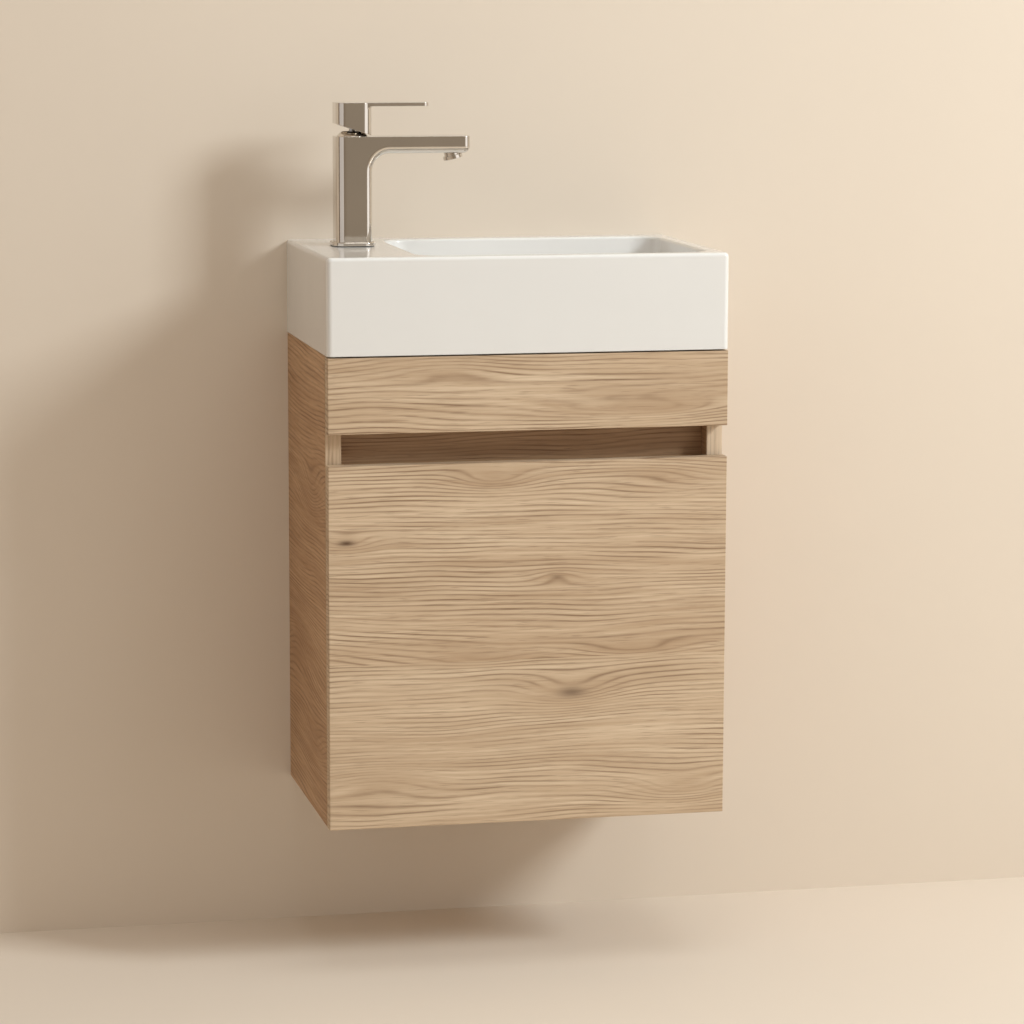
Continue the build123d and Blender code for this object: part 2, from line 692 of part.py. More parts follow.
def hinge_arm(level):
    """A folded steel arm: its nose reaches into the cup and turns round the pin."""
    nose = (level - ARM_NOSE / 2, level + ARM_NOSE / 2)
    strip_y = (PIN_Y - ARM_T / 2, PIN_Y + ARM_T / 2)
    outer = ARM_X
    inner = ARM_X - ARM_T
    arm = slab((inner, PIN_X), strip_y, nose)
    arm += rod((PIN_X, PIN_Y, nose[0]), (0, 0, 1), ARM_EYE_R, ARM_NOSE)
    arm += slab((inner, outer), (strip_y[0], CARCASS_FRONT_Y + 2 * ARM_T), nose)
    body_y = (CARCASS_FRONT_Y + ARM_T, CARCASS_FRONT_Y + ARM_T + ARM_LENGTH)
    wide = (level - ARM_WIDTH / 2, level + ARM_WIDTH / 2)
    channel = slab((inner, outer + ARM_T), body_y, wide)
    channel -= slab((outer, outer + ARM_T), body_y, (wide[0] + ARM_FLANGE_T, wide[1] - ARM_FLANGE_T))
    arm += channel
    return arm - hinge_pin(level, PIN_FIT) - [arm_screw(level, s, FIT) for s in (0, 1)]


def arm_screw(level, place, play=0.0):
    """A machine screw through the arm into its mounting plate."""
    y = MOUNT_Y + (place - 0.5) * ARM_SCREW_STEP
    face = ARM_X - ARM_T
    shank = rod((face, y, level), (1, 0, 0), ARM_SCREW_R + play, ARM_T + ARM_STANDOFF - MOUNT_BASE_T + play)
    head = rod((face, y, level), (-1, 0, 0), ARM_SCREW_HEAD_R, ARM_SCREW_HEAD_T)
    return shank if play else shank + head


def hinge_plate(level):
    """The mounting plate: a winged base with the rib that the arm's channel sits on."""
    x = (INNER_X - MOUNT_BASE_T, INNER_X)
    half = MOUNT_BASE_HEIGHT / 2
    base_y = (MOUNT_Y - MOUNT_BASE_DEPTH / 2, MOUNT_Y + MOUNT_BASE_DEPTH / 2)
    base = slab(x, base_y, (level - half, level + half))
    base = fillet(base.edges().filter_by(Axis.X), MOUNT_BASE_DEPTH / 3)
    rib_half = ARM_WIDTH / 2 - ARM_FLANGE_T - 2 * FIT
    rib_y = (MOUNT_Y - MOUNT_RIB_LENGTH / 2, MOUNT_Y + MOUNT_RIB_LENGTH / 2)
    rib = slab((ARM_X, INNER_X), rib_y, (level - rib_half, level + rib_half))
    plate = base + rib
    cuts = [arm_screw(level, s, FIT) for s in (0, 1)]
    cuts += [wood_screw(head, way, FIT) for head, way in mount_screws() if abs(head[2] - level) < half]
    return plate - cuts


def door_bumper(level):
    """A soft pad on the door's back, which meets the side panel's edge."""
    x = -(INNER_X + OUTER_X) / 2
    return rod((x, FRONT_BACK_Y, level), (0, 1, 0), BUMPER_R, FRONT_GAP - BUMPER_CLEAR)


# Basin

def bowl_block(grow, depth):
    """The bowl's hollow, or with growth the outside of its wall, as drafted walls with rounded corners."""
    width = BOWL_RIGHT_X - BOWL_LEFT_X + 2 * grow
    length = BOWL_BACK_Y - BOWL_FRONT_Y + 2 * grow
    plan = Pos(DRAIN_X, DRAIN_Y, BASIN_TOP) * RectangleRounded(width, length, BOWL_CORNER_R + grow)
    block = extrude(plan, -depth, taper=BOWL_DRAFT)
    return fillet(block.edges().group_by(Axis.Z)[0], BOWL_FLOOR_ROUND)


def basin_block():
    """The basin's outside, with rounded corners and edges."""
    half = UNIT_WIDTH / 2
    block = slab((-half, half), (FRONT_Y, 0), (CARCASS_TOP, BASIN_TOP))
    block = fillet(block.edges().filter_by(Axis.Z).group_by(Axis.Y)[0], BASIN_CORNER_R)
    rim = [edge for edge in block.edges().group_by(Axis.Z)[-1] if edge.center().Y < -1]
    return fillet(rim, BASIN_TOP_ROUND)


def basin_hollow():
    """The hollow underneath, around the bowl and below the tap ledge."""
    half = UNIT_WIDTH / 2 - SKIRT
    hollow = slab((-half, half), (FRONT_Y + SKIRT, -BACK_SKIRT), (CARCASS_TOP, BASIN_TOP - DECK))
    return hollow - bowl_block(BOWL_WALL, BOWL_DEPTH + FLOOR_WALL)


def on_bowl(edge):
    """Whether an edge of the basin's top lies on the bowl."""
    middle = edge.center()
    across = BOWL_LEFT_X - 1 < middle.X < BOWL_RIGHT_X + 1
    return across and BOWL_FRONT_Y - 1 < middle.Y < BOWL_BACK_Y + 1


def basin():
    """The ceramic basin."""
    body = basin_block() - bowl_block(0, BOWL_DEPTH)
    body = fillet([edge for edge in body.edges().group_by(Axis.Z)[-1] if on_bowl(edge)], BOWL_RIM_ROUND)
    body -= basin_hollow()
    drain = (DRAIN_X, DRAIN_Y, FLANGE_SEAT)
    body -= rod(drain, (0, 0, 1), WASTE_FLANGE_R + SEAL_INSET, BOWL_DEPTH)
    body -= rod(drain, (0, 0, -1), WASTE_R + WASTE_HOLE_CLEAR, BOWL_DEPTH)
    return body - rod((TAP_X, TAP_Y, BASIN_TOP), (0, 0, -1), TAP_HOLE_R, 2 * DECK)


# Waste and trap

def waste_body():
    """The waste: flange, threaded tube and the ribbed hub that guides the plug."""
    top = BOWL_FLOOR
    outline = [(WASTE_BORE_R, top), (WASTE_FLANGE_R, top), (WASTE_FLANGE_R, top - WASTE_FLANGE_T),
               (WASTE_R, top - WASTE_FLANGE_T), (WASTE_R, WASTE_BOTTOM), (WASTE_BORE_R, WASTE_BOTTOM)]
    centre = (DRAIN_X, DRAIN_Y, 0)
    hub_top = top - WASTE_HUB_TOP
    hub = rod((DRAIN_X, DRAIN_Y, hub_top), (0, 0, -1), WASTE_HUB_R, WASTE_HUB_LENGTH)
    reach = (WASTE_BORE_R + WASTE_R) / 2
    rib = Box(reach, WASTE_RIB_T, WASTE_HUB_LENGTH, align=(Align.MIN, Align.CENTER, Align.MAX))
    for turn in range(WASTE_RIBS):
        hub += Pos(DRAIN_X, DRAIN_Y, hub_top) * (Rot(0, 0, 360 / WASTE_RIBS * turn) * rib)
    return turned(outline, centre) + hub - plug_stem(PIN_FIT)


def plug_stem(play=0.0):
    """The plug's stem, or its bore in the hub."""
    top = BOWL_FLOOR + PLUG_LIFT_CLEAR
    return rod((DRAIN_X, DRAIN_Y, top), (0, 0, -1), PLUG_STEM_R + play, PLUG_STEM_LENGTH)


def waste_plug():
    """The push plug: a domed cap on its stem."""
    low = BOWL_FLOOR + PLUG_LIFT_CLEAR
    cap = rod((DRAIN_X, DRAIN_Y, low), (0, 0, 1), PLUG_R, PLUG_T)
    cap = fillet(cap.edges().group_by(Axis.Z)[-1], PLUG_ROUND)
    return cap + plug_stem()


def waste_seals():
    """The rubber rings above and below the basin's floor."""
    inner = WASTE_R + FIT
    upper = ring((DRAIN_X, DRAIN_Y, FLANGE_SEAT), (0, 0, 1), WASTE_FLANGE_R - SEAL_INSET, inner, WASTE_SEAL_T)
    under = BOWL_FLOOR - FLOOR_WALL
    lower = ring((DRAIN_X, DRAIN_Y, under), (0, 0, -1), BACK_NUT_R - 2 * SEAL_INSET, inner, 2 * WASTE_SEAL_T)
    return upper, lower


def back_nut():
    """The hexagonal nut that draws the waste down."""
    top = BOWL_FLOOR - FLOOR_WALL - 2 * WASTE_SEAL_T
    plan = Pos(DRAIN_X, DRAIN_Y, top) * RegularPolygon(BACK_NUT_R, 6)
    return extrude(plan, -BACK_NUT_T) - rod((DRAIN_X, DRAIN_Y, top), (0, 0, -1), WASTE_R + FIT, BACK_NUT_T)


def union_nut(start, direction, bore, shoulder_bore):
    """A ribbed union nut: wide bore over a thread, narrow bore round the pipe."""
    nut = rod(start, direction, UNION_R, UNION_LENGTH)
    step = 360 / UNION_RIBS
    frame = Plane(origin=start, z_dir=direction)
    groove = Pos(UNION_R + UNION_RIB_R / 2, 0, 0) * Cylinder(UNION_RIB_R, UNION_LENGTH, align=STANDING)
    nut -= [frame * (Rot(0, 0, step * i) * groove) for i in range(UNION_RIBS)]
    nut -= rod(start, direction, shoulder_bore, UNION_LENGTH)
    past = tuple(s + d * UNION_WALL for s, d in zip(start, direction))
    return nut - rod(past, direction, bore, UNION_LENGTH)


def union_nuts():
    """The nuts under the waste, on the trap's neck and on its branch."""
    bore = PIPE_R + FIT
    under_waste = (DRAIN_X, DRAIN_Y, WASTE_BOTTOM - 2 * UNION_WALL)
    on_neck = (DRAIN_X, DRAIN_Y, TRAP_TOP + UNION_LENGTH)
    on_branch = (DRAIN_X, DRAIN_Y + TRAP_R + BRANCH_LENGTH + UNION_WALL, OUTLET_Z)
    return (union_nut(under_waste, (0, 0, 1), WASTE_R + FIT, bore),
            union_nut(on_neck, (0, 0, -1), bore + TRAP_WALL + FIT, bore),
            union_nut(on_branch, (0, -1, 0), bore + BRANCH_WALL + FIT, bore))


def inlet_tube():
    """The tube from the waste down into the trap, with its collar under the waste."""
    collar = WASTE_BOTTOM - UNION_WALL
    bottom = TRAP_BOTTOM
    bore = PIPE_R - PIPE_WALL
    outline = [(bore, WASTE_BOTTOM), (WASTE_R, WASTE_BOTTOM), (WASTE_R, collar), (PIPE_R, collar),
               (PIPE_R, bottom), (bore, bottom)]
    return turned(outline, (DRAIN_X, DRAIN_Y, 0))


def trap_head():
    """The trap's head: a domed chamber with a threaded neck and the side branch to the wall."""
    neck_top = TRAP_TOP + UNION_LENGTH - UNION_WALL
    bore = PIPE_R + FIT
    inner = TRAP_R - TRAP_WALL
    under = TRAP_TOP - TRAP_WALL
    outline = [(bore, neck_top), (bore + TRAP_WALL, neck_top), (bore + TRAP_WALL, TRAP_TOP),
               (TRAP_R, TRAP_TOP), (TRAP_R, TRAP_BOTTOM), (inner, TRAP_BOTTOM), (inner, under), (bore, under)]
    shell = turned(outline, (DRAIN_X, DRAIN_Y, 0))
    start = (DRAIN_X, DRAIN_Y + inner, OUTLET_Z)
    length = TRAP_WALL + BRANCH_LENGTH
    branch = rod(start, (0, 1, 0), bore + BRANCH_WALL, length)
    branch -= rod((DRAIN_X, DRAIN_Y, OUTLET_Z), (0, 0, 1), inner, TRAP_R)
    branch -= rod((DRAIN_X, DRAIN_Y, OUTLET_Z), (0, 0, -1), inner, TRAP_R)
    return shell + branch - rod(start, (0, 1, 0), bore, length) - rod(start, (0, -1, 0), bore, TRAP_WALL)


def trap_cup():
    """The cup that unscrews from the head, with a ribbed grip."""
    thread = TRAP_R + FIT
    inner = TRAP_R - TRAP_WALL
    low = TRAP_BOTTOM - TRAP_CUP_HEIGHT
    top = TRAP_BOTTOM + TRAP_CUP_GRIP
    outline = [(0, low), (TRAP_R, low), (TRAP_R, TRAP_BOTTOM), (TRAP_CUP_GRIP_R, TRAP_BOTTOM),
               (TRAP_CUP_GRIP_R, top), (thread, top), (thread, TRAP_BOTTOM), (inner, TRAP_BOTTOM),
               (inner, low + TRAP_WALL), (0, low + TRAP_WALL)]
    cup = turned(outline, (DRAIN_X, DRAIN_Y, 0))
    return fillet(cup.edges().group_by(Axis.Z)[0], TRAP_CUP_ROUND)


def outlet_pipe():
    """The pipe from the trap into the wall, with the groove that marks how far it is pushed in."""
    start = DRAIN_Y + TRAP_R + TRAP_WALL
    pipe = ring((DRAIN_X, start, OUTLET_Z), (0, 1, 0), PIPE_R, PIPE_R - PIPE_WALL, OUTLET_PAST_WALL - start)
    mark_r = PIPE_R - PIPE_WALL / 4
    return pipe - ring((DRAIN_X, 0, OUTLET_Z), (0, -1, 0), PIPE_R + FIT, mark_r, DEPTH_MARK)


def wall_rosette():
    """The dished cover round the pipe at the wall."""
    bore = PIPE_R + FIT
    neck = PIPE_R + ROSETTE_T
    outer = [(bore, 0), (ROSETTE_R, 0), (ROSETTE_R, ROSETTE_T), (neck + ROSETTE_T, ROSETTE_DEPTH),
             (bore, ROSETTE_DEPTH)]
    hollow = [(neck, 0), (ROSETTE_R - ROSETTE_T, 0), (neck, ROSETTE_DEPTH - ROSETTE_T)]
    dish = revolve(upright_face(outer), Axis.Z) - revolve(upright_face(hollow), Axis.Z)
    return Plane(origin=(DRAIN_X, 0, OUTLET_Z), z_dir=(0, -1, 0)) * dish


# Tap

def tap_point(x, y, z):
    """A point given from the tap's axis and the basin's top."""
    return (TAP_X + x, TAP_Y + y, BASIN_TOP + z)


def tap_frame():
    """The tap's own place on the basin."""
    return Pos(TAP_X, TAP_Y, BASIN_TOP)


def tap_shape():
    """The column and spout: one outline, as deep as the column, with its bend and rounded edges."""
    half = TAP_SIDE / 2
    foot = BASE_T + BASE_SEAL_T
    under = TAP_BODY_TOP - SPOUT_THICK
    outline = [(-half, foot), (half, foot), (half, under), (SPOUT_REACH, under),
               (SPOUT_REACH, TAP_BODY_TOP), (-half, TAP_BODY_TOP)]
    body = Pos(0, half, 0) * extrude(upright_face(outline), TAP_SIDE, dir=(0, -1, 0))
    bend = body.edges().filter_by(Axis.Y).sort_by_distance((half, 0, under))[0]
    body = fillet(bend, SPOUT_BEND_R)
    uprights = body.edges().filter_by(Axis.Z)
    body = fillet([edge for edge in uprights if edge.center().X > SPOUT_REACH - 1], SPOUT_END_ROUND)
    uprights = body.edges().filter_by(Axis.Z)
    body = fillet([edge for edge in uprights if edge.center().X < 1 - half], TAP_BACK_ROUND)
    return fillet([edge for edge in body.edges() if on_underside(edge)], TAP_FRONT_ROUND)


def on_underside(edge):
    """Whether an edge runs up the column's inner side, round the bend or along the spout's underside."""
    middle = edge.center()
    inside = middle.X > TAP_SIDE / 2 - 1 and middle.Z < TAP_BODY_TOP - SPOUT_THICK + 1
    ends = [vertex.Y for vertex in edge.vertices()]
    crosses = abs(ends[0] - ends[-1]) > TAP_SIDE - 1 and middle.X < SPOUT_REACH - 1
    return inside and middle.Z > BASE_T + BASE_SEAL_T + 1 and not crosses


def aerator_frame():
    """The outlet's place: its axis leans out from the spout's underside."""
    under = TAP_BODY_TOP - SPOUT_THICK
    return Pos(*tap_point(AERATOR_REACH, 0, under)) * Rot(0, -AERATOR_TILT, 0)


def upright_rod(radius, top, bottom):
    """A rod on the local Z axis between two heights."""
    return Pos(0, 0, bottom) * Cylinder(radius, top - bottom, align=STANDING)


def tap_body():
    """The cast body, with its cartridge chamber, waterway, outlet socket, stud hole and inlets."""
    body = tap_frame() * tap_shape()
    body -= rod((TAP_X, TAP_Y, BODY_TOP_Z), (0, 0, -1), CHAMBER_R, CHAMBER_DEPTH)
    mid = TAP_BODY_TOP - SPOUT_THICK / 2
    body -= rod(tap_point(CHAMBER_R - 1, 0, mid), (1, 0, 0), WATERWAY_R, AERATOR_REACH - CHAMBER_R)
    body -= aerator_frame() * upright_rod(AERATOR_R - CARTRIDGE_WALL + FIT, AERATOR_SOCKET, -AERATOR_SHOW)
    foot = BASE_T + BASE_SEAL_T
    body -= rod(tap_point(0, STUD_SHIFT, foot), (0, 0, 1), STUD_R + FIT, STUD_SET)
    for side in SIDES.values():
        body -= rod(tap_point(side * INLET_SHIFT_X, -INLET_SHIFT_Y, foot), (0, 0, 1), INLET_R, INLET_DEPTH)
    return body


def base_ring():
    """The base plate under the column."""
    plan = Pos(*tap_point(0, 0, BASE_SEAL_T)) * RectangleRounded(BASE_SIDE, BASE_SIDE, BASE_ROUND)
    plate = extrude(plan, BASE_T)
    plate = fillet(plate.edges().group_by(Axis.Z)[-1], BASE_EDGE_ROUND)
    return plate - rod(tap_point(0, 0, BASE_SEAL_T), (0, 0, 1), BASE_HOLE_R, BASE_T)


def base_seal():
    """The thin rubber ring under the base plate."""
    side = BASE_SIDE - 2 * BASE_EDGE_ROUND
    plan = Pos(*tap_point(0, 0, 0)) * RectangleRounded(side, side, BASE_ROUND - BASE_EDGE_ROUND)
    return extrude(plan, BASE_SEAL_T) - rod(tap_point(0, 0, 0), (0, 0, 1), TAP_HOLE_R, BASE_SEAL_T)


def cartridge_housing():
    """The cartridge's cup, with ports in its base."""
    inner = HOUSING_INNER_R
    floor = CHAMBER_FLOOR + CARTRIDGE_BASE_T
    outline = [(0, CHAMBER_FLOOR), (CARTRIDGE_R, CHAMBER_FLOOR), (CARTRIDGE_R, HOUSING_TOP),
               (inner, HOUSING_TOP), (inner, floor), (0, floor)]
    return turned(outline, (TAP_X, TAP_Y, 0)) - ports()


def ports():
    """The two water ways through the cartridge's base and fixed disc."""
    places = [TAP_X + side * PORT_SHIFT for side in SIDES.values()]
    return [rod((x, TAP_Y, CHAMBER_FLOOR), (0, 0, 1), PORT_R, CARTRIDGE_BASE_T + DISC_T) for x in places]


def fixed_disc():
    """The ceramic disc with the two inlet ports."""
    disc = rod((TAP_X, TAP_Y, CHAMBER_FLOOR + CARTRIDGE_BASE_T), (0, 0, 1), HOUSING_INNER_R - FIT, DISC_T)
    return disc - ports()


def moving_disc():
    """The ceramic disc that the stem's tip slides over the ports."""
    disc = rod((TAP_X, TAP_Y, DISC_PLANE + DISC_GAP), (0, 0, 1), MOVING_DISC_R, DISC_T)
    socket = PIVOT_Z - STEM_TIP_DROP - STEM_TIP_R - TIP_PLAY
    return disc - rod((TAP_X, TAP_Y, socket), (0, 0, 1), STEM_TIP_R + TIP_PLAY, DISC_T)


def cartridge_carrier():
    """The carrier that swivels in the housing and holds the lever pin."""
    carrier = rod((TAP_X, TAP_Y, CARRIER_BOTTOM), (0, 0, 1), CARRIER_R, HOUSING_TOP - FIT - CARRIER_BOTTOM)
    half = CARRIER_SLOT / 2
    slot_x = (TAP_X - NUT_BORE_R, TAP_X + NUT_BORE_R)
    slot = slab(slot_x, (TAP_Y - half, TAP_Y + half), (CARRIER_BOTTOM, HOUSING_TOP))
    return carrier - slot - lever_pin(PIN_FIT)


def lever_pin(play=0.0):
    """The pin across the carrier that the stem rocks on."""
    half = CARRIER_R - CARTRIDGE_WALL + play
    return rod((TAP_X, TAP_Y - half, PIVOT_Z), (0, 1, 0), LEVER_PIN_R + play, 2 * half)


def tap_stem():
    """The stem: a round rod with an eye on the pin and a ball tip below."""
    bottom = PIVOT_Z - STEM_TIP_DROP
    top = BASIN_TOP + HANDLE_TOP - STEM_ROOF
    stem = rod((TAP_X, TAP_Y, bottom), (0, 0, 1), STEM_NECK_R, STEM_TIP_DROP)
    stem += rod((TAP_X, TAP_Y, PIVOT_Z - STEM_R), (0, 0, 1), STEM_R, top - PIVOT_Z + STEM_R)
    stem += Pos(TAP_X, TAP_Y, bottom) * Sphere(STEM_TIP_R)
    return stem - lever_pin(PIN_FIT)


def cartridge_nut():
    """The ring nut that holds the cartridge down."""
    return ring((TAP_X, TAP_Y, HOUSING_TOP), (0, 0, 1), CARTRIDGE_R, NUT_BORE_R, NUT_T)


def tap_collar():
    """The dome between body and handle: a slice of a ball centred on the lever's pivot."""
    ball = Pos(TAP_X, TAP_Y, PIVOT_Z) * Sphere(COLLAR_BALL_R)
    rise = math.sqrt(COLLAR_BALL_R ** 2 - (NUT_BORE_R + COLLAR_RIM) ** 2)
    ball &= rod((TAP_X, TAP_Y, BODY_TOP_Z), (0, 0, 1), TAP_SIDE, PIVOT_Z + rise - BODY_TOP_Z)
    return ball - rod((TAP_X, TAP_Y, BODY_TOP_Z), (0, 0, 1), NUT_BORE_R, COLLAR_BALL_R)


def handle_block():
    """The handle's block, its lower face cut at a slant so that it can rock."""
    half = TAP_SIDE / 2
    low = TAP_BODY_TOP + HANDLE_GAP
    plan = Pos(*tap_point(0, 0, low)) * RectangleRounded(TAP_SIDE, TAP_SIDE, TAP_BACK_ROUND)
    block = extrude(plan, HANDLE_TOP - low)
    wedge = Box(4 * TAP_SIDE, 2 * TAP_SIDE, TAP_SIDE, align=(Align.CENTER, Align.CENTER, Align.MAX))
    return block - Pos(*tap_point(half, 0, low)) * (Rot(0, HANDLE_CUT_ANGLE, 0) * wedge)


def lever_plate():
    """The flat lever, which narrows to its tip."""
    half = TAP_SIDE / 2
    root = half - LEVER_INSET
    tip = LEVER_TIP_WIDTH / 2
    outline = [(0, -root), (half, -root), (LEVER_REACH, -tip), (LEVER_REACH, tip), (half, root), (0, root)]
    plate = extrude(make_face(Polyline(*outline, close=True)), LEVER_T)
    corners = [edge for edge in plate.edges().filter_by(Axis.Z) if edge.center().X > LEVER_REACH - 1]
    return Pos(*tap_point(0, 0, HANDLE_TOP - LEVER_T)) * fillet(corners, LEVER_ROUND)


def on_lever_root(edge):
    """Whether an edge is part of the inner corner between block and lever."""
    middle = edge.center()
    level = abs(middle.Z - BASIN_TOP - HANDLE_TOP + LEVER_T) < FIT
    near = middle.X < TAP_X + TAP_SIDE / 2 + FIT
    return level and near and (edge.geom_type == GeomType.CIRCLE or abs(middle.Y - TAP_Y) < 1)


def tap_handle():
    """The handle: block and lever, hollow over the dome, bored for the stem and the grub screw."""
    full = handle_block() + lever_plate()
    full = fillet([edge for edge in full.edges() if on_lever_root(edge)], LEVER_ROOT)
    start = tap_point(0, 0, TAP_BODY_TOP)
    cavity = rod(start, (0, 0, 1), HANDLE_CAVITY_R, HANDLE_CAVITY_TOP - TAP_BODY_TOP)
    stem_top = HANDLE_TOP - STEM_ROOF + FIT
    stem_hole = rod(start, (0, 0, 1), STEM_R + FIT, stem_top - TAP_BODY_TOP)
    return full - cavity - stem_hole - grub_screw(FIT) - index_plug(FIT)


def grub_screw(play=0.0):
    """The grub screw that clamps the stem behind the index plug, or with play its hole from the stem."""
    z = HANDLE_TOP - INDEX_DROP
    tip = STEM_R + FIT
    start = 0 if play else tip
    return rod(tap_point(start, 0, z), (1, 0, 0), GRUB_R + play, tip - start + GRUB_LENGTH + play)


def index_plug(play=0.0):
    """The plain plug that covers the grub screw's hole, on the side towards the spout."""
    z = HANDLE_TOP - INDEX_DROP
    start = STEM_R + FIT + GRUB_LENGTH + FIT
    reach = TAP_SIDE / 2 + INDEX_T - start
    return rod(tap_point(start, 0, z), (1, 0, 0), INDEX_R + play, reach)


def aerator_housing():
    """The aerator's sleeve in the spout's socket, with its visible rim."""
    sleeve_r = AERATOR_R - CARTRIDGE_WALL
    sleeve = upright_rod(sleeve_r, AERATOR_SOCKET, -AERATOR_SHOW)
    rim = upright_rod(AERATOR_R, -spout_drop(), -AERATOR_SHOW)
    return aerator_frame() * (sleeve + rim - upright_rod(AERATOR_BORE_R, AERATOR_SOCKET, -AERATOR_SHOW))


def spout_drop():
    """How far along the slanted axis the rim must start to clear the spout's underside."""
    return AERATOR_R * math.tan(math.radians(AERATOR_TILT)) + CARTRIDGE_CLEAR


def aerator_insert():
    """The perforated insert in the aerator."""
    low = AERATOR_INSET - AERATOR_SHOW
    insert = upright_rod(AERATOR_BORE_R - FIT, low + AERATOR_INSERT_T, low)
    hole = Pos(AERATOR_HOLE_RING, 0, 0) * upright_rod(AERATOR_HOLE_R, AERATOR_SOCKET, -AERATOR_SHOW)
    holes = [Rot(0, 0, 360 / AERATOR_HOLES * i) * hole for i in range(AERATOR_HOLES)]
    return aerator_frame() * (insert - holes)


def tap_stud():
    """The threaded stud that holds the tap down."""
    return rod(tap_point(0, STUD_SHIFT, BASE_T + BASE_SEAL_T + STUD_SET), (0, 0, -1), STUD_R, STUD_LENGTH)


def horseshoe(top, thickness):
    """A horseshoe washer: open at the front for the hoses."""
    shoe = rod(tap_point(0, 0, top), (0, 0, -1), WASHER_R, thickness)
    half = CLAMP_SLOT / 2
    slot_back = STUD_SHIFT - STUD_R - CLAMP_BRIDGE
    slot = slab((TAP_X - half, TAP_X + half), (TAP_Y - WASHER_R, TAP_Y + slot_back), (CARCASS_TOP, BASIN_TOP))
    return shoe - slot - rod(tap_point(0, STUD_SHIFT, top), (0, 0, -1), STUD_R + FIT, thickness)


def tap_nut():
    """The nut on the stud."""
    top = -DECK - WASHER_T - CLAMP_T
    plan = Pos(*tap_point(0, STUD_SHIFT, top)) * RegularPolygon(TAP_NUT_R, 6)
    return extrude(plan, -TAP_NUT_T) - rod(tap_point(0, STUD_SHIFT, top), (0, 0, -1), STUD_R + FIT, TAP_NUT_T)


# Write every node

def write_cabinet():
    """Boards, joints, brackets and shelf."""
    for name, side in SIDES.items():
        write(f"side_panel_{name}", side_panel(side))
    write("bottom_panel", cross_board("bottom_panel", (CARCASS_FRONT_Y, 0), (CARCASS_BOTTOM, FLOOR_TOP)))
    write("back_rail_top", back_rail_top())
    rail_y = (RAIL_FRONT_Y, RAIL_BACK_Y)
    recess_y = (RECESS_FRONT_Y, RECESS_BACK_Y)
    write("back_rail_bottom", cross_board("back_rail_bottom", rail_y, (FLOOR_TOP, BOTTOM_RAIL_TOP)))
    write("recess_rail", cross_board("recess_rail", recess_y, (RECESS_BOTTOM, CARCASS_TOP)))
    write("front_fascia", front_fascia())
    write("shelf", shelf())
    sides = SIDES.values()
    write("fascia_brackets", *[fascia_bracket(side) for side in sides])
    write("shelf_pins", *[shelf_pin(side, y) for side in sides for y in shelf_pin_places()])
    joints = joint_points()
    write("cam_locks", *[cam(side, y, z, face, into) for side in sides for _, y, z, face, into in joints])
    write("cam_bolts", *[cam_bolt(side, y, z) for side in sides for _, y, z, _, _ in joints])
    write("dowels", *[dowel(side, y, z) for side in sides for _, y, z in dowel_points()])
    write("wood_screws", *[wood_screw(head, way) for side in sides for head, way in all_screws(side)])


def write_wall_fixing():
    """Plates, hangers and hooks."""
    sides = SIDES.values()
    write("wall_plates", *[wall_plate(side) for side in sides])
    write("hanger_boxes", *[hanger_box(side) for side in sides])
    write("hanger_hooks", *[hanger_hook(side) for side in sides])
    write("hanger_adjusters", *[adjuster(side) for side in sides])


def write_door():
    """Door, hinges and bumpers."""
    write("door_panel", door_panel())
    for name, level in HINGE_LEVELS.items():
        write(f"hinge_cup_{name}", hinge_cup(level))
        write(f"hinge_arm_{name}", hinge_arm(level))
    levels = HINGE_LEVELS.values()
    write("hinge_plates", *[hinge_plate(level) for level in levels])
    write("hinge_pins", *[hinge_pin(level) for level in levels])
    write("cup_screws", *[wood_screw(head, way) for level in levels for head, way in cup_screws(level)])
    write("arm_screws", *[arm_screw(level, place) for level in levels for place in (0, 1)])
    write("door_bumpers", *[door_bumper(z) for z in (DOOR_TOP - BUMPER_INSET, CARCASS_BOTTOM + BUMPER_INSET)])


def write_basin_and_waste():
    """Basin, waste and trap."""
    write("basin", basin())
    write("waste_body", waste_body())
    write("waste_plug", waste_plug())
    write("waste_seals", *waste_seals())
    write("waste_nut", back_nut())
    write("trap_inlet_tube", inlet_tube())
    write("trap_head", trap_head())
    write("trap_cup", trap_cup())
    write("trap_outlet_pipe", outlet_pipe())
    write("wall_rosette", wall_rosette())
    write("union_nuts", *union_nuts())


def write_tap():
    """Tap, cartridge and its fixing."""
    write("tap_body", tap_body())
    write("tap_base_ring", base_ring())
    write("tap_base_seal", base_seal())
    write("tap_collar", tap_collar())
    write("cartridge_housing", cartridge_housing())
    write("cartridge_nut", cartridge_nut())
    write("fixed_disc", fixed_disc())
    write("moving_disc", moving_disc())
    write("cartridge_carrier", cartridge_carrier())
    write("lever_pin", lever_pin())
    write("tap_stem", tap_stem())
    write("tap_handle", tap_handle())
    write("grub_screw", grub_screw())
    write("index_plug", index_plug())
    write("aerator_housing", aerator_housing())
    write("aerator_insert", aerator_insert())
    write("tap_stud", tap_stud())
    write("tap_washer", horseshoe(-DECK, WASHER_T))
    write("tap_clamp", horseshoe(-DECK - WASHER_T, CLAMP_T))
    write("tap_nut", tap_nut())


write_cabinet()
write_wall_fixing()
write_door()
write_basin_and_waste()
write_tap()
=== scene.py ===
"""Looks for a wall-hung vanity unit: oak-effect boards, glazed basin and polished tap, before a pale wall."""
import math

import bmesh
import bpy
from mathutils import Matrix, Vector

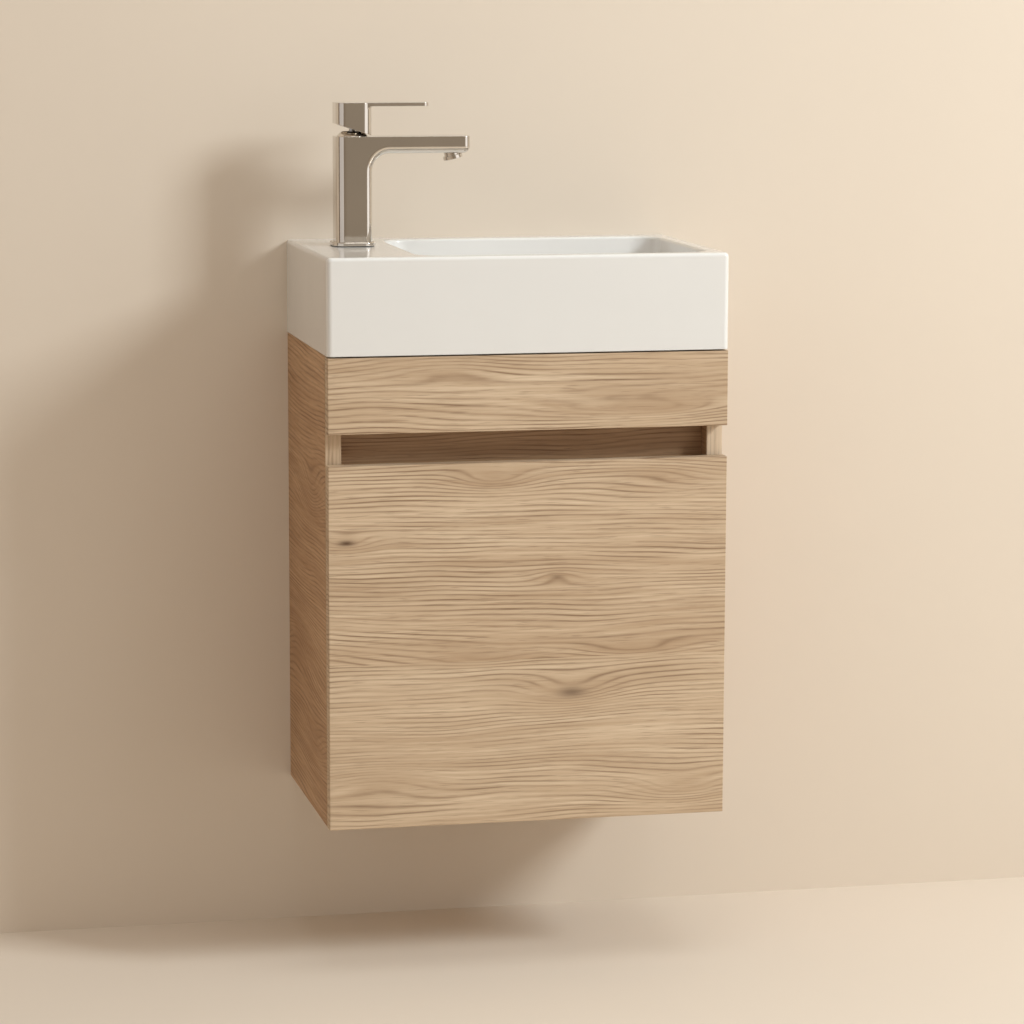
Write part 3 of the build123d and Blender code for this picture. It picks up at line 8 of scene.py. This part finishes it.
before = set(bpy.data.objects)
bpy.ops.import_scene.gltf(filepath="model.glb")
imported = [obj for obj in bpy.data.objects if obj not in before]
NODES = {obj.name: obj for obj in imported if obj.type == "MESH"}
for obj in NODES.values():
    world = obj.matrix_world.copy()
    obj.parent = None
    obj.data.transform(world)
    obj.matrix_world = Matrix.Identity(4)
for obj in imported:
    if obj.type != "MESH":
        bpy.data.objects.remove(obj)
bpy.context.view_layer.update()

# The wall's face, which is the frame's own zero, the floor, and how far both run, in metres
WALL_Y = 0.0
FLOOR_Z = -0.575
REACH = 6.0

# Camera, from the outlines of the basin and the cabinet
CAMERA_PLACE = (-0.748, -3.554, 0.406)
CAMERA_YAW = 12.46
CAMERA_PITCH = 8.68
CAMERA_ROLL = 0.17
FOCAL_PIXELS = 3503.0
IMAGE_PIXELS = 1024.0
SENSOR = 36.0
FAR_CLIP = 60.0

# Colours, linear
OAK_LIGHT = (0.715, 0.570, 0.410, 1)
OAK_MID = (0.615, 0.465, 0.318, 1)
OAK_DARK = (0.395, 0.262, 0.155, 1)
OAK_LINE = (0.215, 0.128, 0.070, 1)
OAK_KNOT = (0.095, 0.048, 0.024, 1)
# Painted light: the paler colour given to the right panel's front edge
OAK_PAINTED_LIGHT = (0.900, 0.780, 0.620, 1)
OAK_STAVE = (0.9, 0.75, 0.55, 1)
# Painted shade: the darker, warmer colour multiplied onto the rails set back inside the cabinet and in the
# recess
INNER_PAINTED_SHADE = (0.860, 0.720, 0.600, 1)
# Painted shade: the darker, warmer colour multiplied onto the side panels' side faces
SIDE_PAINTED_SHADE = (0.860, 0.700, 0.560, 1)
GLAZE_WARM = (0.775, 0.768, 0.752, 1)
GLAZE_COOL = (0.750, 0.742, 0.724, 1)
WALL_COLOUR = (0.720, 0.630, 0.530, 1)
FLOOR_COLOUR = (0.760, 0.675, 0.580, 1)
ROOM_LOW = (0.140, 0.086, 0.046, 1)
ROOM_HIGH = (0.560, 0.495, 0.400, 1)
ROOM_SEEN = (0.78, 0.70, 0.58, 1)

# Lamps: name, place, aim, width, height, watts, colour
AIM = (0.0, -0.12, -0.05)
LAMPS = (
    ("key", (2.30, -2.00, 1.55), AIM, 0.7, 0.9, 75.0, (0.900, 0.970, 1.0)),
    ("top", (0.20, -1.00, 2.20), AIM, 1.4, 1.0, 11.0, (0.95, 0.98, 1.0)),
    ("left_box", (-2.40, -1.90, 0.60), AIM, 3.0, 2.2, 10.0, (0.97, 0.98, 1.0)),
    ("right_box", (2.60, -2.60, 0.30), AIM, 2.6, 1.6, 11.0, (0.98, 0.98, 1.0)),
    ("rear", (-1.20, 2.60, 1.00), (0.0, 0.0, -0.1), 1.6, 1.6, 26.0, (1.0, 0.97, 0.93)),
)

# The room's glow, from low to high: its share at the horizon, and what rightwards and upwards add
ROOM_SHARE = 0.42
ROOM_RIGHTWARDS = 0.30
ROOM_UPWARDS = 0.42

# Oak grain: growth lines per metre across it, how far they bend, in metres, how many lines their spacing
# drifts by, and how sharp a line and a knot's core are
GRAIN_LINES = 225.0
BROAD_BEND = 0.044
FINE_BEND = 0.0045
LINE_DRIFT = 9.0
LINE_SHARPNESS = 5.0
CORE_SHARPNESS = 14.0
STAVE_SHIFT = 3.7

# Oak's layers of noise: features per metre along and across the grain, shift, detail, roughness
OAK_LAYERS = {
    "broad": (2.2, 9.0, 0.0, 2.0, 0.55),
    "middle": (7.0, 30.0, 5.1, 2.0, 0.55),
    "pitch": (1.6, 5.0, 9.0, 1.0, 0.55),
    "fade": (9.0, 60.0, 2.3, 3.0, 0.55),
    "fibre": (10.0, 420.0, 0.0, 4.0, 0.65),
    "streak": (5.0, 110.0, 0.0, 3.0, 0.60),
    "pore": (38.0, 1150.0, 0.0, 1.0, 0.55),
    "zone": (2.4, 16.0, 7.7, 2.0, 0.55),
}

# How much of each mark shows in oak's colour, and how far it stands out in its relief
SHOWS = {
    "streak": 0.58,
    "fibre": 0.42,
    "ring": 0.20,
    "line": 0.95,
    "pore": 0.42,
    "warmth": 0.48,
    "stave": 0.07,
    # How much painted light shows on the right panel's front edge
    "painted_lit_edge": 0.30,
}
RELIEF = {"fibre": 0.5, "line": -0.8, "pore": -0.7}

# How the tone of a surface falls off in its patches
METAL_SHADE = 0.86
PLASTIC_SHADE = 0.90
PAINT_SHADE = 0.97


# Node helpers

class Tree:
    """The nodes of a material or a world, with short calls to add them."""

    def __init__(self, owner, output="ShaderNodeOutputMaterial"):
        self.owner = owner
        owner.use_nodes = True
        self.nodes = owner.node_tree.nodes
        self.links = owner.node_tree.links
        self.nodes.clear()
        self.output = self.nodes.new(output)

    def add(self, kind, **settings):
        node = self.nodes.new(kind)
        for key, value in settings.items():
            setattr(node, key, value)
        return node

    def plug(self, value, socket):
        """Link a socket, or set a plain value."""
        if isinstance(value, bpy.types.NodeSocket):
            self.links.new(value, socket)
        else:
            socket.default_value = value

    def math(self, operation, a, b=None, c=None, clamp=False):
        node = self.add("ShaderNodeMath", operation=operation, use_clamp=clamp)
        for socket, value in zip(node.inputs, (a, b, c)):
            if value is not None:
                self.plug(value, socket)
        return node.outputs[0]

    def combine(self, x, y, z):
        node = self.add("ShaderNodeCombineXYZ")
        for socket, value in zip(node.inputs, (x, y, z)):
            self.plug(value, socket)
        return node.outputs[0]

    def separate(self, vector):
        node = self.add("ShaderNodeSeparateXYZ")
        self.links.new(vector, node.inputs[0])
        return node.outputs

    def noise(self, vector, scale=1.0, detail=2.0, roughness=0.5, distortion=0.0):
        node = self.add("ShaderNodeTexNoise", noise_dimensions="3D")
        self.links.new(vector, node.inputs["Vector"])
        node.inputs["Scale"].default_value = scale
        node.inputs["Detail"].default_value = detail
        node.inputs["Roughness"].default_value = roughness
        node.inputs["Distortion"].default_value = distortion
        return node.outputs["Fac"]

    def spread(self, value, low, high, out_low=0.0, out_high=1.0):
        """Map a range to another, held at its ends."""
        node = self.add("ShaderNodeMapRange", clamp=True)
        for socket, number in zip(node.inputs, (value, low, high, out_low, out_high)):
            self.plug(number, socket)
        return node.outputs[0]

    def mix(self, factor, a, b, blend="MIX"):
        node = self.add("ShaderNodeMix", data_type="RGBA", blend_type=blend)
        self.plug(factor, node.inputs[0])
        self.plug(a, node.inputs[6])
        self.plug(b, node.inputs[7])
        return node.outputs[2]

    def swap(self, factor, a, b):
        """One number or the other by a factor."""
        node = self.add("ShaderNodeMix", data_type="FLOAT")
        self.plug(factor, node.inputs[0])
        self.plug(a, node.inputs[2])
        self.plug(b, node.inputs[3])
        return node.outputs[0]

    def bump(self, height, strength, distance, edge=0.0):
        node = self.add("ShaderNodeBump")
        node.inputs["Strength"].default_value = strength
        node.inputs["Distance"].default_value = distance
        self.links.new(height, node.inputs["Height"])
        if edge:
            self.links.new(self.bevel(edge), node.inputs["Normal"])
        return node.outputs["Normal"]

    def bevel(self, radius):
        """Normals that round a sharp edge, as its small highlight needs."""
        node = self.add("ShaderNodeBevel", samples=4)
        node.inputs["Radius"].default_value = radius
        return node.outputs[0]

    def shader(self, **sockets):
        """The surface's shader, with its sockets by name."""
        node = self.add("ShaderNodeBsdfPrincipled")
        for name, value in sockets.items():
            self.plug(value, node.inputs[name.replace("_", " ")])
        return self.finish(node.outputs[0])

    def finish(self, surface):
        self.links.new(surface, self.output.inputs["Surface"])
        return self.owner

    def place(self):
        return self.add("ShaderNodeTexCoord").outputs["Object"]

    def facing(self):
        return self.add("ShaderNodeTexCoord").outputs["Normal"]


def material_tree(name):
    return Tree(bpy.data.materials.new(name))


def darker(colour, share):
    return tuple(c * share for c in colour[:3]) + (1,)


# Materials

def wrinkle(tree, u, v, w, layer, lot):
    """One of oak's layers: noise drawn out along the grain. lot shifts it, so that no two boards match."""
    along, across, shift, detail, roughness = OAK_LAYERS[layer]
    vector = tree.combine(tree.math("MULTIPLY", u, along), tree.math("MULTIPLY", v, across),
                          tree.math("MULTIPLY_ADD", w, across, tree.math("ADD", lot, shift)))
    return tree.noise(vector, detail=detail, roughness=roughness)


def bend_round(tree, u, v, warped, spots):
    """Bend the growth lines round the spots. Also gives how warm each place is, and how dark with a knot."""
    warmth = 0.0
    knot = 0.0
    for along, across, length, width, bend, depth in spots:
        du = tree.math("DIVIDE", tree.math("SUBTRACT", u, along), length)
        dv = tree.math("DIVIDE", tree.math("SUBTRACT", v, across), width)
        square = tree.math("ADD", tree.math("MULTIPLY", du, du), tree.math("MULTIPLY", dv, dv))
        bell = tree.math("EXPONENT", tree.math("MULTIPLY", square, -1.0))
        warped = tree.math("MULTIPLY_ADD", bell, bend, warped)
        warmth = tree.math("MAXIMUM", bell, warmth)
        if depth:
            core = tree.math("EXPONENT", tree.math("MULTIPLY", square, -CORE_SHARPNESS))
            knot = tree.math("MAXIMUM", tree.math("MULTIPLY", core, depth), knot)
    return warped, warmth, knot


def oak(name, order="XZY", lot=0.0, spots=(), seams=(), banded=False, tone=None):
    """Oak-effect laminate. order names the row axes along the grain, across it and into the board.
    spots are (along, across, length, width, bend, depth) in metres; seams are places across the grain where
    one stave ends; banded gives the front edge its own upright grain, with painted shade on the side faces
    and painted light on the right panel's front edge; tone, a painted shade, is multiplied in."""
    tree = material_tree(name)
    axes = dict(zip("XYZ", tree.separate(tree.place())))
    u, v, w = (axes[letter] for letter in order)
    if banded:
        front = tree.spread(tree.separate(tree.facing())[1], -0.8, -0.6, 1.0, 0.0)
        pairs = ((u, axes["Z"]), (v, axes["X"]), (w, axes["Y"]))
        u, v, w = (tree.swap(front, board, edge) for board, edge in pairs)
    stave = 0.0
    for seam in seams:
        stave = tree.math("ADD", tree.math("GREATER_THAN", v, seam), stave)
    if seams:
        lot = tree.math("MULTIPLY_ADD", stave, STAVE_SHIFT, lot)

    warped = tree.math("MULTIPLY_ADD", wrinkle(tree, u, v, w, "broad", lot), BROAD_BEND, v)
    warped = tree.math("MULTIPLY_ADD", wrinkle(tree, u, v, w, "middle", lot), FINE_BEND, warped)
    warped, warmth, knot = bend_round(tree, u, v, warped, spots)

    turns = tree.math("MULTIPLY", warped, GRAIN_LINES)
    turns = tree.math("MULTIPLY_ADD", wrinkle(tree, u, v, w, "pitch", lot), LINE_DRIFT, turns)
    wave = tree.math("SINE", tree.math("MULTIPLY", turns, 2 * math.pi))
    ring = tree.math("MULTIPLY_ADD", wave, 0.5, 0.5)
    line = tree.math("POWER", ring, LINE_SHARPNESS)
    line = tree.math("MULTIPLY", line, tree.spread(wrinkle(tree, u, v, w, "fade", lot), 0.36, 0.66))
    fibre = wrinkle(tree, u, v, w, "fibre", lot)
    streak = wrinkle(tree, u, warped, w, "streak", lot)
    pore = tree.spread(wrinkle(tree, u, v, w, "pore", lot), 0.60, 0.72)
    zone = wrinkle(tree, u, warped, w, "zone", lot)

    colour = tree.mix(tree.spread(zone, 0.32, 0.68), OAK_LIGHT, OAK_MID)
    colour = tree.mix(tree.spread(streak, 0.38, 0.68, 0.0, SHOWS["streak"]), colour, OAK_DARK)
    colour = tree.mix(tree.spread(fibre, 0.38, 0.66, 0.0, SHOWS["fibre"]), colour, OAK_DARK)
    colour = tree.mix(tree.math("MULTIPLY", ring, SHOWS["ring"]), colour, OAK_DARK)
    colour = tree.mix(tree.math("MULTIPLY", line, SHOWS["line"]), colour, OAK_LINE)
    colour = tree.mix(tree.math("MULTIPLY", pore, SHOWS["pore"]), colour, OAK_LINE)
    if spots:
        colour = tree.mix(tree.math("MULTIPLY", warmth, SHOWS["warmth"]), colour, OAK_DARK)
        colour = tree.mix(tree.math("MINIMUM", knot, 1.0), colour, OAK_KNOT)
    if seams:
        lift = tree.spread(stave, 0.0, float(len(seams)), SHOWS["stave"], 0.0)
        colour = tree.mix(lift, colour, OAK_STAVE)
    if banded:
        # Painted shade darkens and warms the side faces, and painted light makes the right panel's front edge
        # paler
        on_right = tree.math("GREATER_THAN", axes["X"], 0.0)
        side = tree.mix(1.0, colour, SIDE_PAINTED_SHADE, "MULTIPLY")
        edge = tree.mix(on_right, colour, tree.mix(SHOWS["painted_lit_edge"], colour, OAK_PAINTED_LIGHT))
        colour = tree.mix(front, side, edge)
    # Painted shade, multiplied in for boards set back out of the light
    if tone:
        colour = tree.mix(1.0, colour, tone, "MULTIPLY")

    relief = tree.math("MULTIPLY_ADD", line, RELIEF["line"], tree.math("MULTIPLY", fibre, RELIEF["fibre"]))
    relief = tree.math("MULTIPLY_ADD", pore, RELIEF["pore"], relief)
    return tree.shader(Base_Color=colour, Roughness=tree.spread(fibre, 0.2, 0.8, 0.42, 0.58),
                       Normal=tree.bump(relief, 0.32, 0.0004, edge=0.0006), Specular_IOR_Level=0.38)


def glaze():
    """White glaze: nearly even, with a soft waviness in its shine."""
    tree = material_tree("glaze")
    place = tree.place()
    cloud = tree.noise(place, scale=9.0, detail=2.0)
    wave = tree.noise(place, scale=26.0, detail=1.0)
    pin = tree.noise(place, scale=420.0, detail=2.0)
    colour = tree.mix(cloud, GLAZE_WARM, GLAZE_COOL)
    height = tree.math("MULTIPLY_ADD", pin, 0.06, wave)
    rough = tree.spread(pin, 0.3, 0.7, 0.10, 0.15)
    normal = tree.bump(height, 0.10, 0.0008, edge=0.0012)
    return tree.shader(Base_Color=colour, Roughness=rough, Normal=normal,
                       IOR=1.52, Coat_Weight=0.25, Coat_Roughness=0.05)


def metal(name, colour, low, high, scale=260.0, strength=0.03, brushed=False, thread=0.0):
    """Metal with a fine variation in its shine between low and high. brushed draws it out, and thread is the
    rise of an upright screw's turn."""
    tree = material_tree(name)
    place = tree.place()
    if brushed:
        x, y, z = tree.separate(place)
        x, y, z = (tree.math("MULTIPLY", a, by) for a, by in ((x, 0.25), (y, 0.25), (z, 3.0)))
        place = tree.combine(x, y, z)
    grain = tree.noise(place, scale=scale, detail=3.0)
    patch = tree.noise(place, scale=scale / 14, detail=2.0)
    blend = tree.math("MULTIPLY_ADD", patch, 0.5, tree.math("MULTIPLY", grain, 0.5))
    height = grain
    if thread:
        z = tree.separate(tree.place())[2]
        turn = tree.math("SINE", tree.math("MULTIPLY", z, 2 * math.pi / thread))
        height = tree.math("MULTIPLY_ADD", turn, 8.0, grain)
    return tree.shader(Base_Color=tree.mix(patch, darker(colour, METAL_SHADE), colour), Metallic=1.0,
                       Roughness=tree.spread(blend, 0.3, 0.7, low, high),
                       Normal=tree.bump(height, strength, 0.0002, edge=0.0005))


def plastic(name, colour, low, high):
    """Moulded plastic with a fine grain, and a faint change of tone."""
    tree = material_tree(name)
    place = tree.place()
    grain = tree.noise(place, scale=340.0, detail=3.0)
    patch = tree.noise(place, scale=18.0, detail=2.0)
    return tree.shader(Base_Color=tree.mix(patch, darker(colour, PLASTIC_SHADE), colour),
                       Roughness=tree.spread(grain, 0.3, 0.7, low, high),
                       Normal=tree.bump(grain, 0.12, 0.0002, edge=0.0004))


def plain(name, light, dark, scale, roughness):
    """A matt surface with a fine tone."""
    tree = material_tree(name)
    tone = tree.noise(tree.place(), scale=scale, detail=4.0)
    return tree.shader(Base_Color=tree.mix(tone, dark, light), Roughness=roughness,
                       Normal=tree.bump(tone, 0.15, 0.0003))


def backdrop(name, colour):
    """A matt wall or floor, seen from its front side only. A ray that came in from behind passes it freely,
    so the back of the unit is lit as if it hung free."""
    tree = material_tree(name)
    tone = tree.noise(tree.place(), scale=3.0, detail=3.0)
    shade = tree.mix(tone, darker(colour, PAINT_SHADE), colour)
    matt = tree.add("ShaderNodeBsdfDiffuse")
    clear = tree.add("ShaderNodeBsdfTransparent")
    behind = tree.add("ShaderNodeNewGeometry").outputs["Backfacing"]
    passed = tree.math("GREATER_THAN", tree.add("ShaderNodeLightPath").outputs["Transparent Depth"], 0.5)
    behind = tree.math("MAXIMUM", behind, passed)
    join = tree.add("ShaderNodeMixShader")
    tree.plug(shade, matt.inputs["Color"])
    tree.plug(behind, join.inputs[0])
    tree.plug(matt.outputs[0], join.inputs[1])
    tree.plug(clear.outputs[0], join.inputs[2])
    return tree.finish(join.outputs[0])


# Spots in the oak of each board, as oak() takes them, and where the door's two staves meet
DOOR_SPOTS = (
    (-0.182, -0.1365, 0.030, 0.010, 0.010, 0.95),
    (0.028, -0.1765, 0.022, 0.008, -0.007, 0.45),
    (0.043, -0.2925, 0.050, 0.018, 0.016, 0.75),
    (0.110, -0.2520, 0.055, 0.008, 0.008, 0.0),
    (-0.050, -0.2560, 0.045, 0.007, 0.006, 0.0),
    (-0.145, -0.3720, 0.060, 0.016, -0.014, 0.0),
    (-0.035, -0.0775, 0.040, 0.010, 0.012, 0.0),
    (0.135, -0.0750, 0.060, 0.010, -0.008, 0.0),
    (0.155, -0.3950, 0.050, 0.014, 0.012, 0.0),
)
FASCIA_SPOTS = (
    (0.120, -0.0120, 0.110, 0.009, 0.010, 0.0),
    (-0.090, 0.0300, 0.080, 0.010, -0.006, 0.0),
)
DOOR_SEAM = -0.2575
SIDE_SPOTS = (
    (-0.150, -0.1000, 0.070, 0.030, 0.022, 0.0),
    (-0.060, -0.2600, 0.080, 0.036, -0.020, 0.0),
    (-0.160, -0.3500, 0.060, 0.026, 0.018, 0.0),
)


def dress():
    """Give every CAD node its material."""
    looks = {
        "door": oak("oak_door", "XZY", 1.3, DOOR_SPOTS, (DOOR_SEAM,)),
        "fascia": oak("oak_fascia", "XZY", 14.2, FASCIA_SPOTS),
        "side": oak("oak_side", "YZX", 23.6, SIDE_SPOTS, banded=True),
        "inner": oak("oak_inner", "XZY", 31.9, tone=INNER_PAINTED_SHADE),
        "flat": oak("oak_flat", "XYZ", 47.1),
        "glaze": glaze(),
        # Painted reflection: the chrome's warm tint stands in for the warm room it mirrors
        "chrome": metal("chrome", (0.76, 0.715, 0.66, 1), 0.045, 0.085),
        "steel": metal("zinc_steel", (0.60, 0.60, 0.61, 1), 0.26, 0.42, scale=420.0, strength=0.12,
                       brushed=True),
        "stud": metal("stud_steel", (0.58, 0.58, 0.58, 1), 0.24, 0.36, strength=0.6, thread=0.001),
        "brass": metal("brass", (0.72, 0.50, 0.20, 1), 0.20, 0.34, strength=0.08),
        "white": plastic("white_plastic", (0.80, 0.80, 0.785, 1), 0.22, 0.34),
        "grey": plastic("grey_plastic", (0.16, 0.16, 0.165, 1), 0.35, 0.5),
        "rubber": plastic("rubber", (0.035, 0.035, 0.036, 1), 0.6, 0.8),
        "clear": plastic("soft_pad", (0.62, 0.60, 0.56, 1), 0.3, 0.45),
        "disc": plain("disc_ceramic", (0.84, 0.83, 0.80, 1), (0.76, 0.75, 0.72, 1), 300.0, 0.35),
        "beech": plain("beech", (0.62, 0.43, 0.26, 1), (0.48, 0.30, 0.16, 1), 220.0, 0.6),
    }
    groups = {
        "door": ["door_panel"],
        "fascia": ["front_fascia"],
        "side": ["side_panel_left", "side_panel_right"],
        "inner": ["back_rail_top", "back_rail_bottom", "recess_rail"],
        "flat": ["bottom_panel", "shelf"],
        "glaze": ["basin"],
        "chrome": ["tap_body", "tap_base_ring", "tap_collar", "tap_handle", "aerator_housing", "waste_plug",
                   "waste_body"],
        "steel": ["fascia_brackets", "wall_plates", "hanger_boxes", "hanger_hooks", "hanger_adjusters",
                  "hinge_cup_upper", "hinge_cup_lower", "hinge_arm_upper", "hinge_arm_lower", "hinge_plates",
                  "hinge_pins", "cup_screws", "arm_screws", "wood_screws", "cam_bolts", "cam_locks",
                  "shelf_pins", "lever_pin", "tap_stem", "grub_screw", "tap_clamp"],
        "stud": ["tap_stud"],
        "brass": ["tap_nut", "cartridge_nut"],
        "white": ["trap_inlet_tube", "trap_head", "trap_cup", "trap_outlet_pipe", "wall_rosette",
                  "union_nuts", "cartridge_housing", "cartridge_carrier", "waste_nut"],
        "grey": ["index_plug", "aerator_insert"],
        "rubber": ["waste_seals", "tap_base_seal", "tap_washer"],
        "clear": ["door_bumpers"],
        "disc": ["fixed_disc", "moving_disc"],
        "beech": ["dowels"],
    }
    for look, names in groups.items():
        for name in names:
            slots = NODES[name].data.materials
            slots.clear()
            slots.append(looks[look])


# Stage, light and camera

def sheet(name, corners, material):
    """One flat face of the stage, its front towards the room."""
    mesh = bpy.data.meshes.new(name)
    build = bmesh.new()
    build.faces.new([build.verts.new(corner) for corner in corners])
    build.to_mesh(mesh)
    build.free()
    mesh.materials.append(material)
    thing = bpy.data.objects.new(name, mesh)
    bpy.context.scene.collection.objects.link(thing)


def set_stage():
    far, y, z = REACH, WALL_Y, FLOOR_Z
    sheet("stage_wall", [(-far, y, z), (far, y, z), (far, y, far), (-far, y, far)],
          backdrop("wall_paint", WALL_COLOUR))
    sheet("stage_floor", [(-far, -far, z), (far, -far, z), (far, y, z), (-far, y, z)],
          backdrop("floor_paint", FLOOR_COLOUR))


def softbox(name, place, aim, width, height, watts, colour):
    """A soft lamp that faces a point."""
    light = bpy.data.lights.new(name, "AREA")
    light.shape = "RECTANGLE"
    light.size = width
    light.size_y = height
    light.energy = watts
    light.color = colour
    lamp = bpy.data.objects.new(name, light)
    lamp.location = place
    lamp.rotation_euler = (Vector(aim) - Vector(place)).to_track_quat("-Z", "Y").to_euler()
    bpy.context.scene.collection.objects.link(lamp)


def set_light():
    """The lamps, and a room that is brighter upwards and to the right, and even where the camera sees it."""
    for lamp in LAMPS:
        softbox(*lamp)
    tree = Tree(bpy.data.worlds.new("room"), "ShaderNodeOutputWorld")
    x, y, z = tree.separate(tree.add("ShaderNodeTexCoord").outputs["Generated"])
    share = tree.math("MULTIPLY_ADD", x, ROOM_RIGHTWARDS, ROOM_SHARE)
    share = tree.math("MULTIPLY_ADD", z, ROOM_UPWARDS, share, clamp=True)
    seen = tree.add("ShaderNodeLightPath").outputs["Is Camera Ray"]
    colour = tree.mix(seen, tree.mix(share, ROOM_LOW, ROOM_HIGH), ROOM_SEEN)
    glow = tree.add("ShaderNodeBackground")
    tree.plug(colour, glow.inputs["Color"])
    bpy.context.scene.world = tree.finish(glow.outputs[0])


def set_camera():
    yaw, pitch, roll = (math.radians(a) for a in (CAMERA_YAW, CAMERA_PITCH, CAMERA_ROLL))
    ahead = Vector((math.sin(yaw) * math.cos(pitch), math.cos(yaw) * math.cos(pitch), -math.sin(pitch)))
    level = Vector((math.cos(yaw), -math.sin(yaw), 0.0))
    upright = level.cross(ahead)
    right = level * math.cos(roll) + upright * math.sin(roll)
    up = upright * math.cos(roll) - level * math.sin(roll)
    lens = bpy.data.cameras.new("camera")
    lens.sensor_width = SENSOR
    lens.lens = FOCAL_PIXELS / IMAGE_PIXELS * SENSOR
    lens.clip_end = FAR_CLIP
    camera = bpy.data.objects.new("camera", lens)
    camera.matrix_world = Matrix.Translation(CAMERA_PLACE) @ Matrix((right, up, -ahead)).transposed().to_4x4()
    bpy.context.scene.collection.objects.link(camera)
    bpy.context.scene.camera = camera


dress()
set_stage()
set_light()
set_camera()
bpy.context.scene.view_settings.view_transform = "Standard"
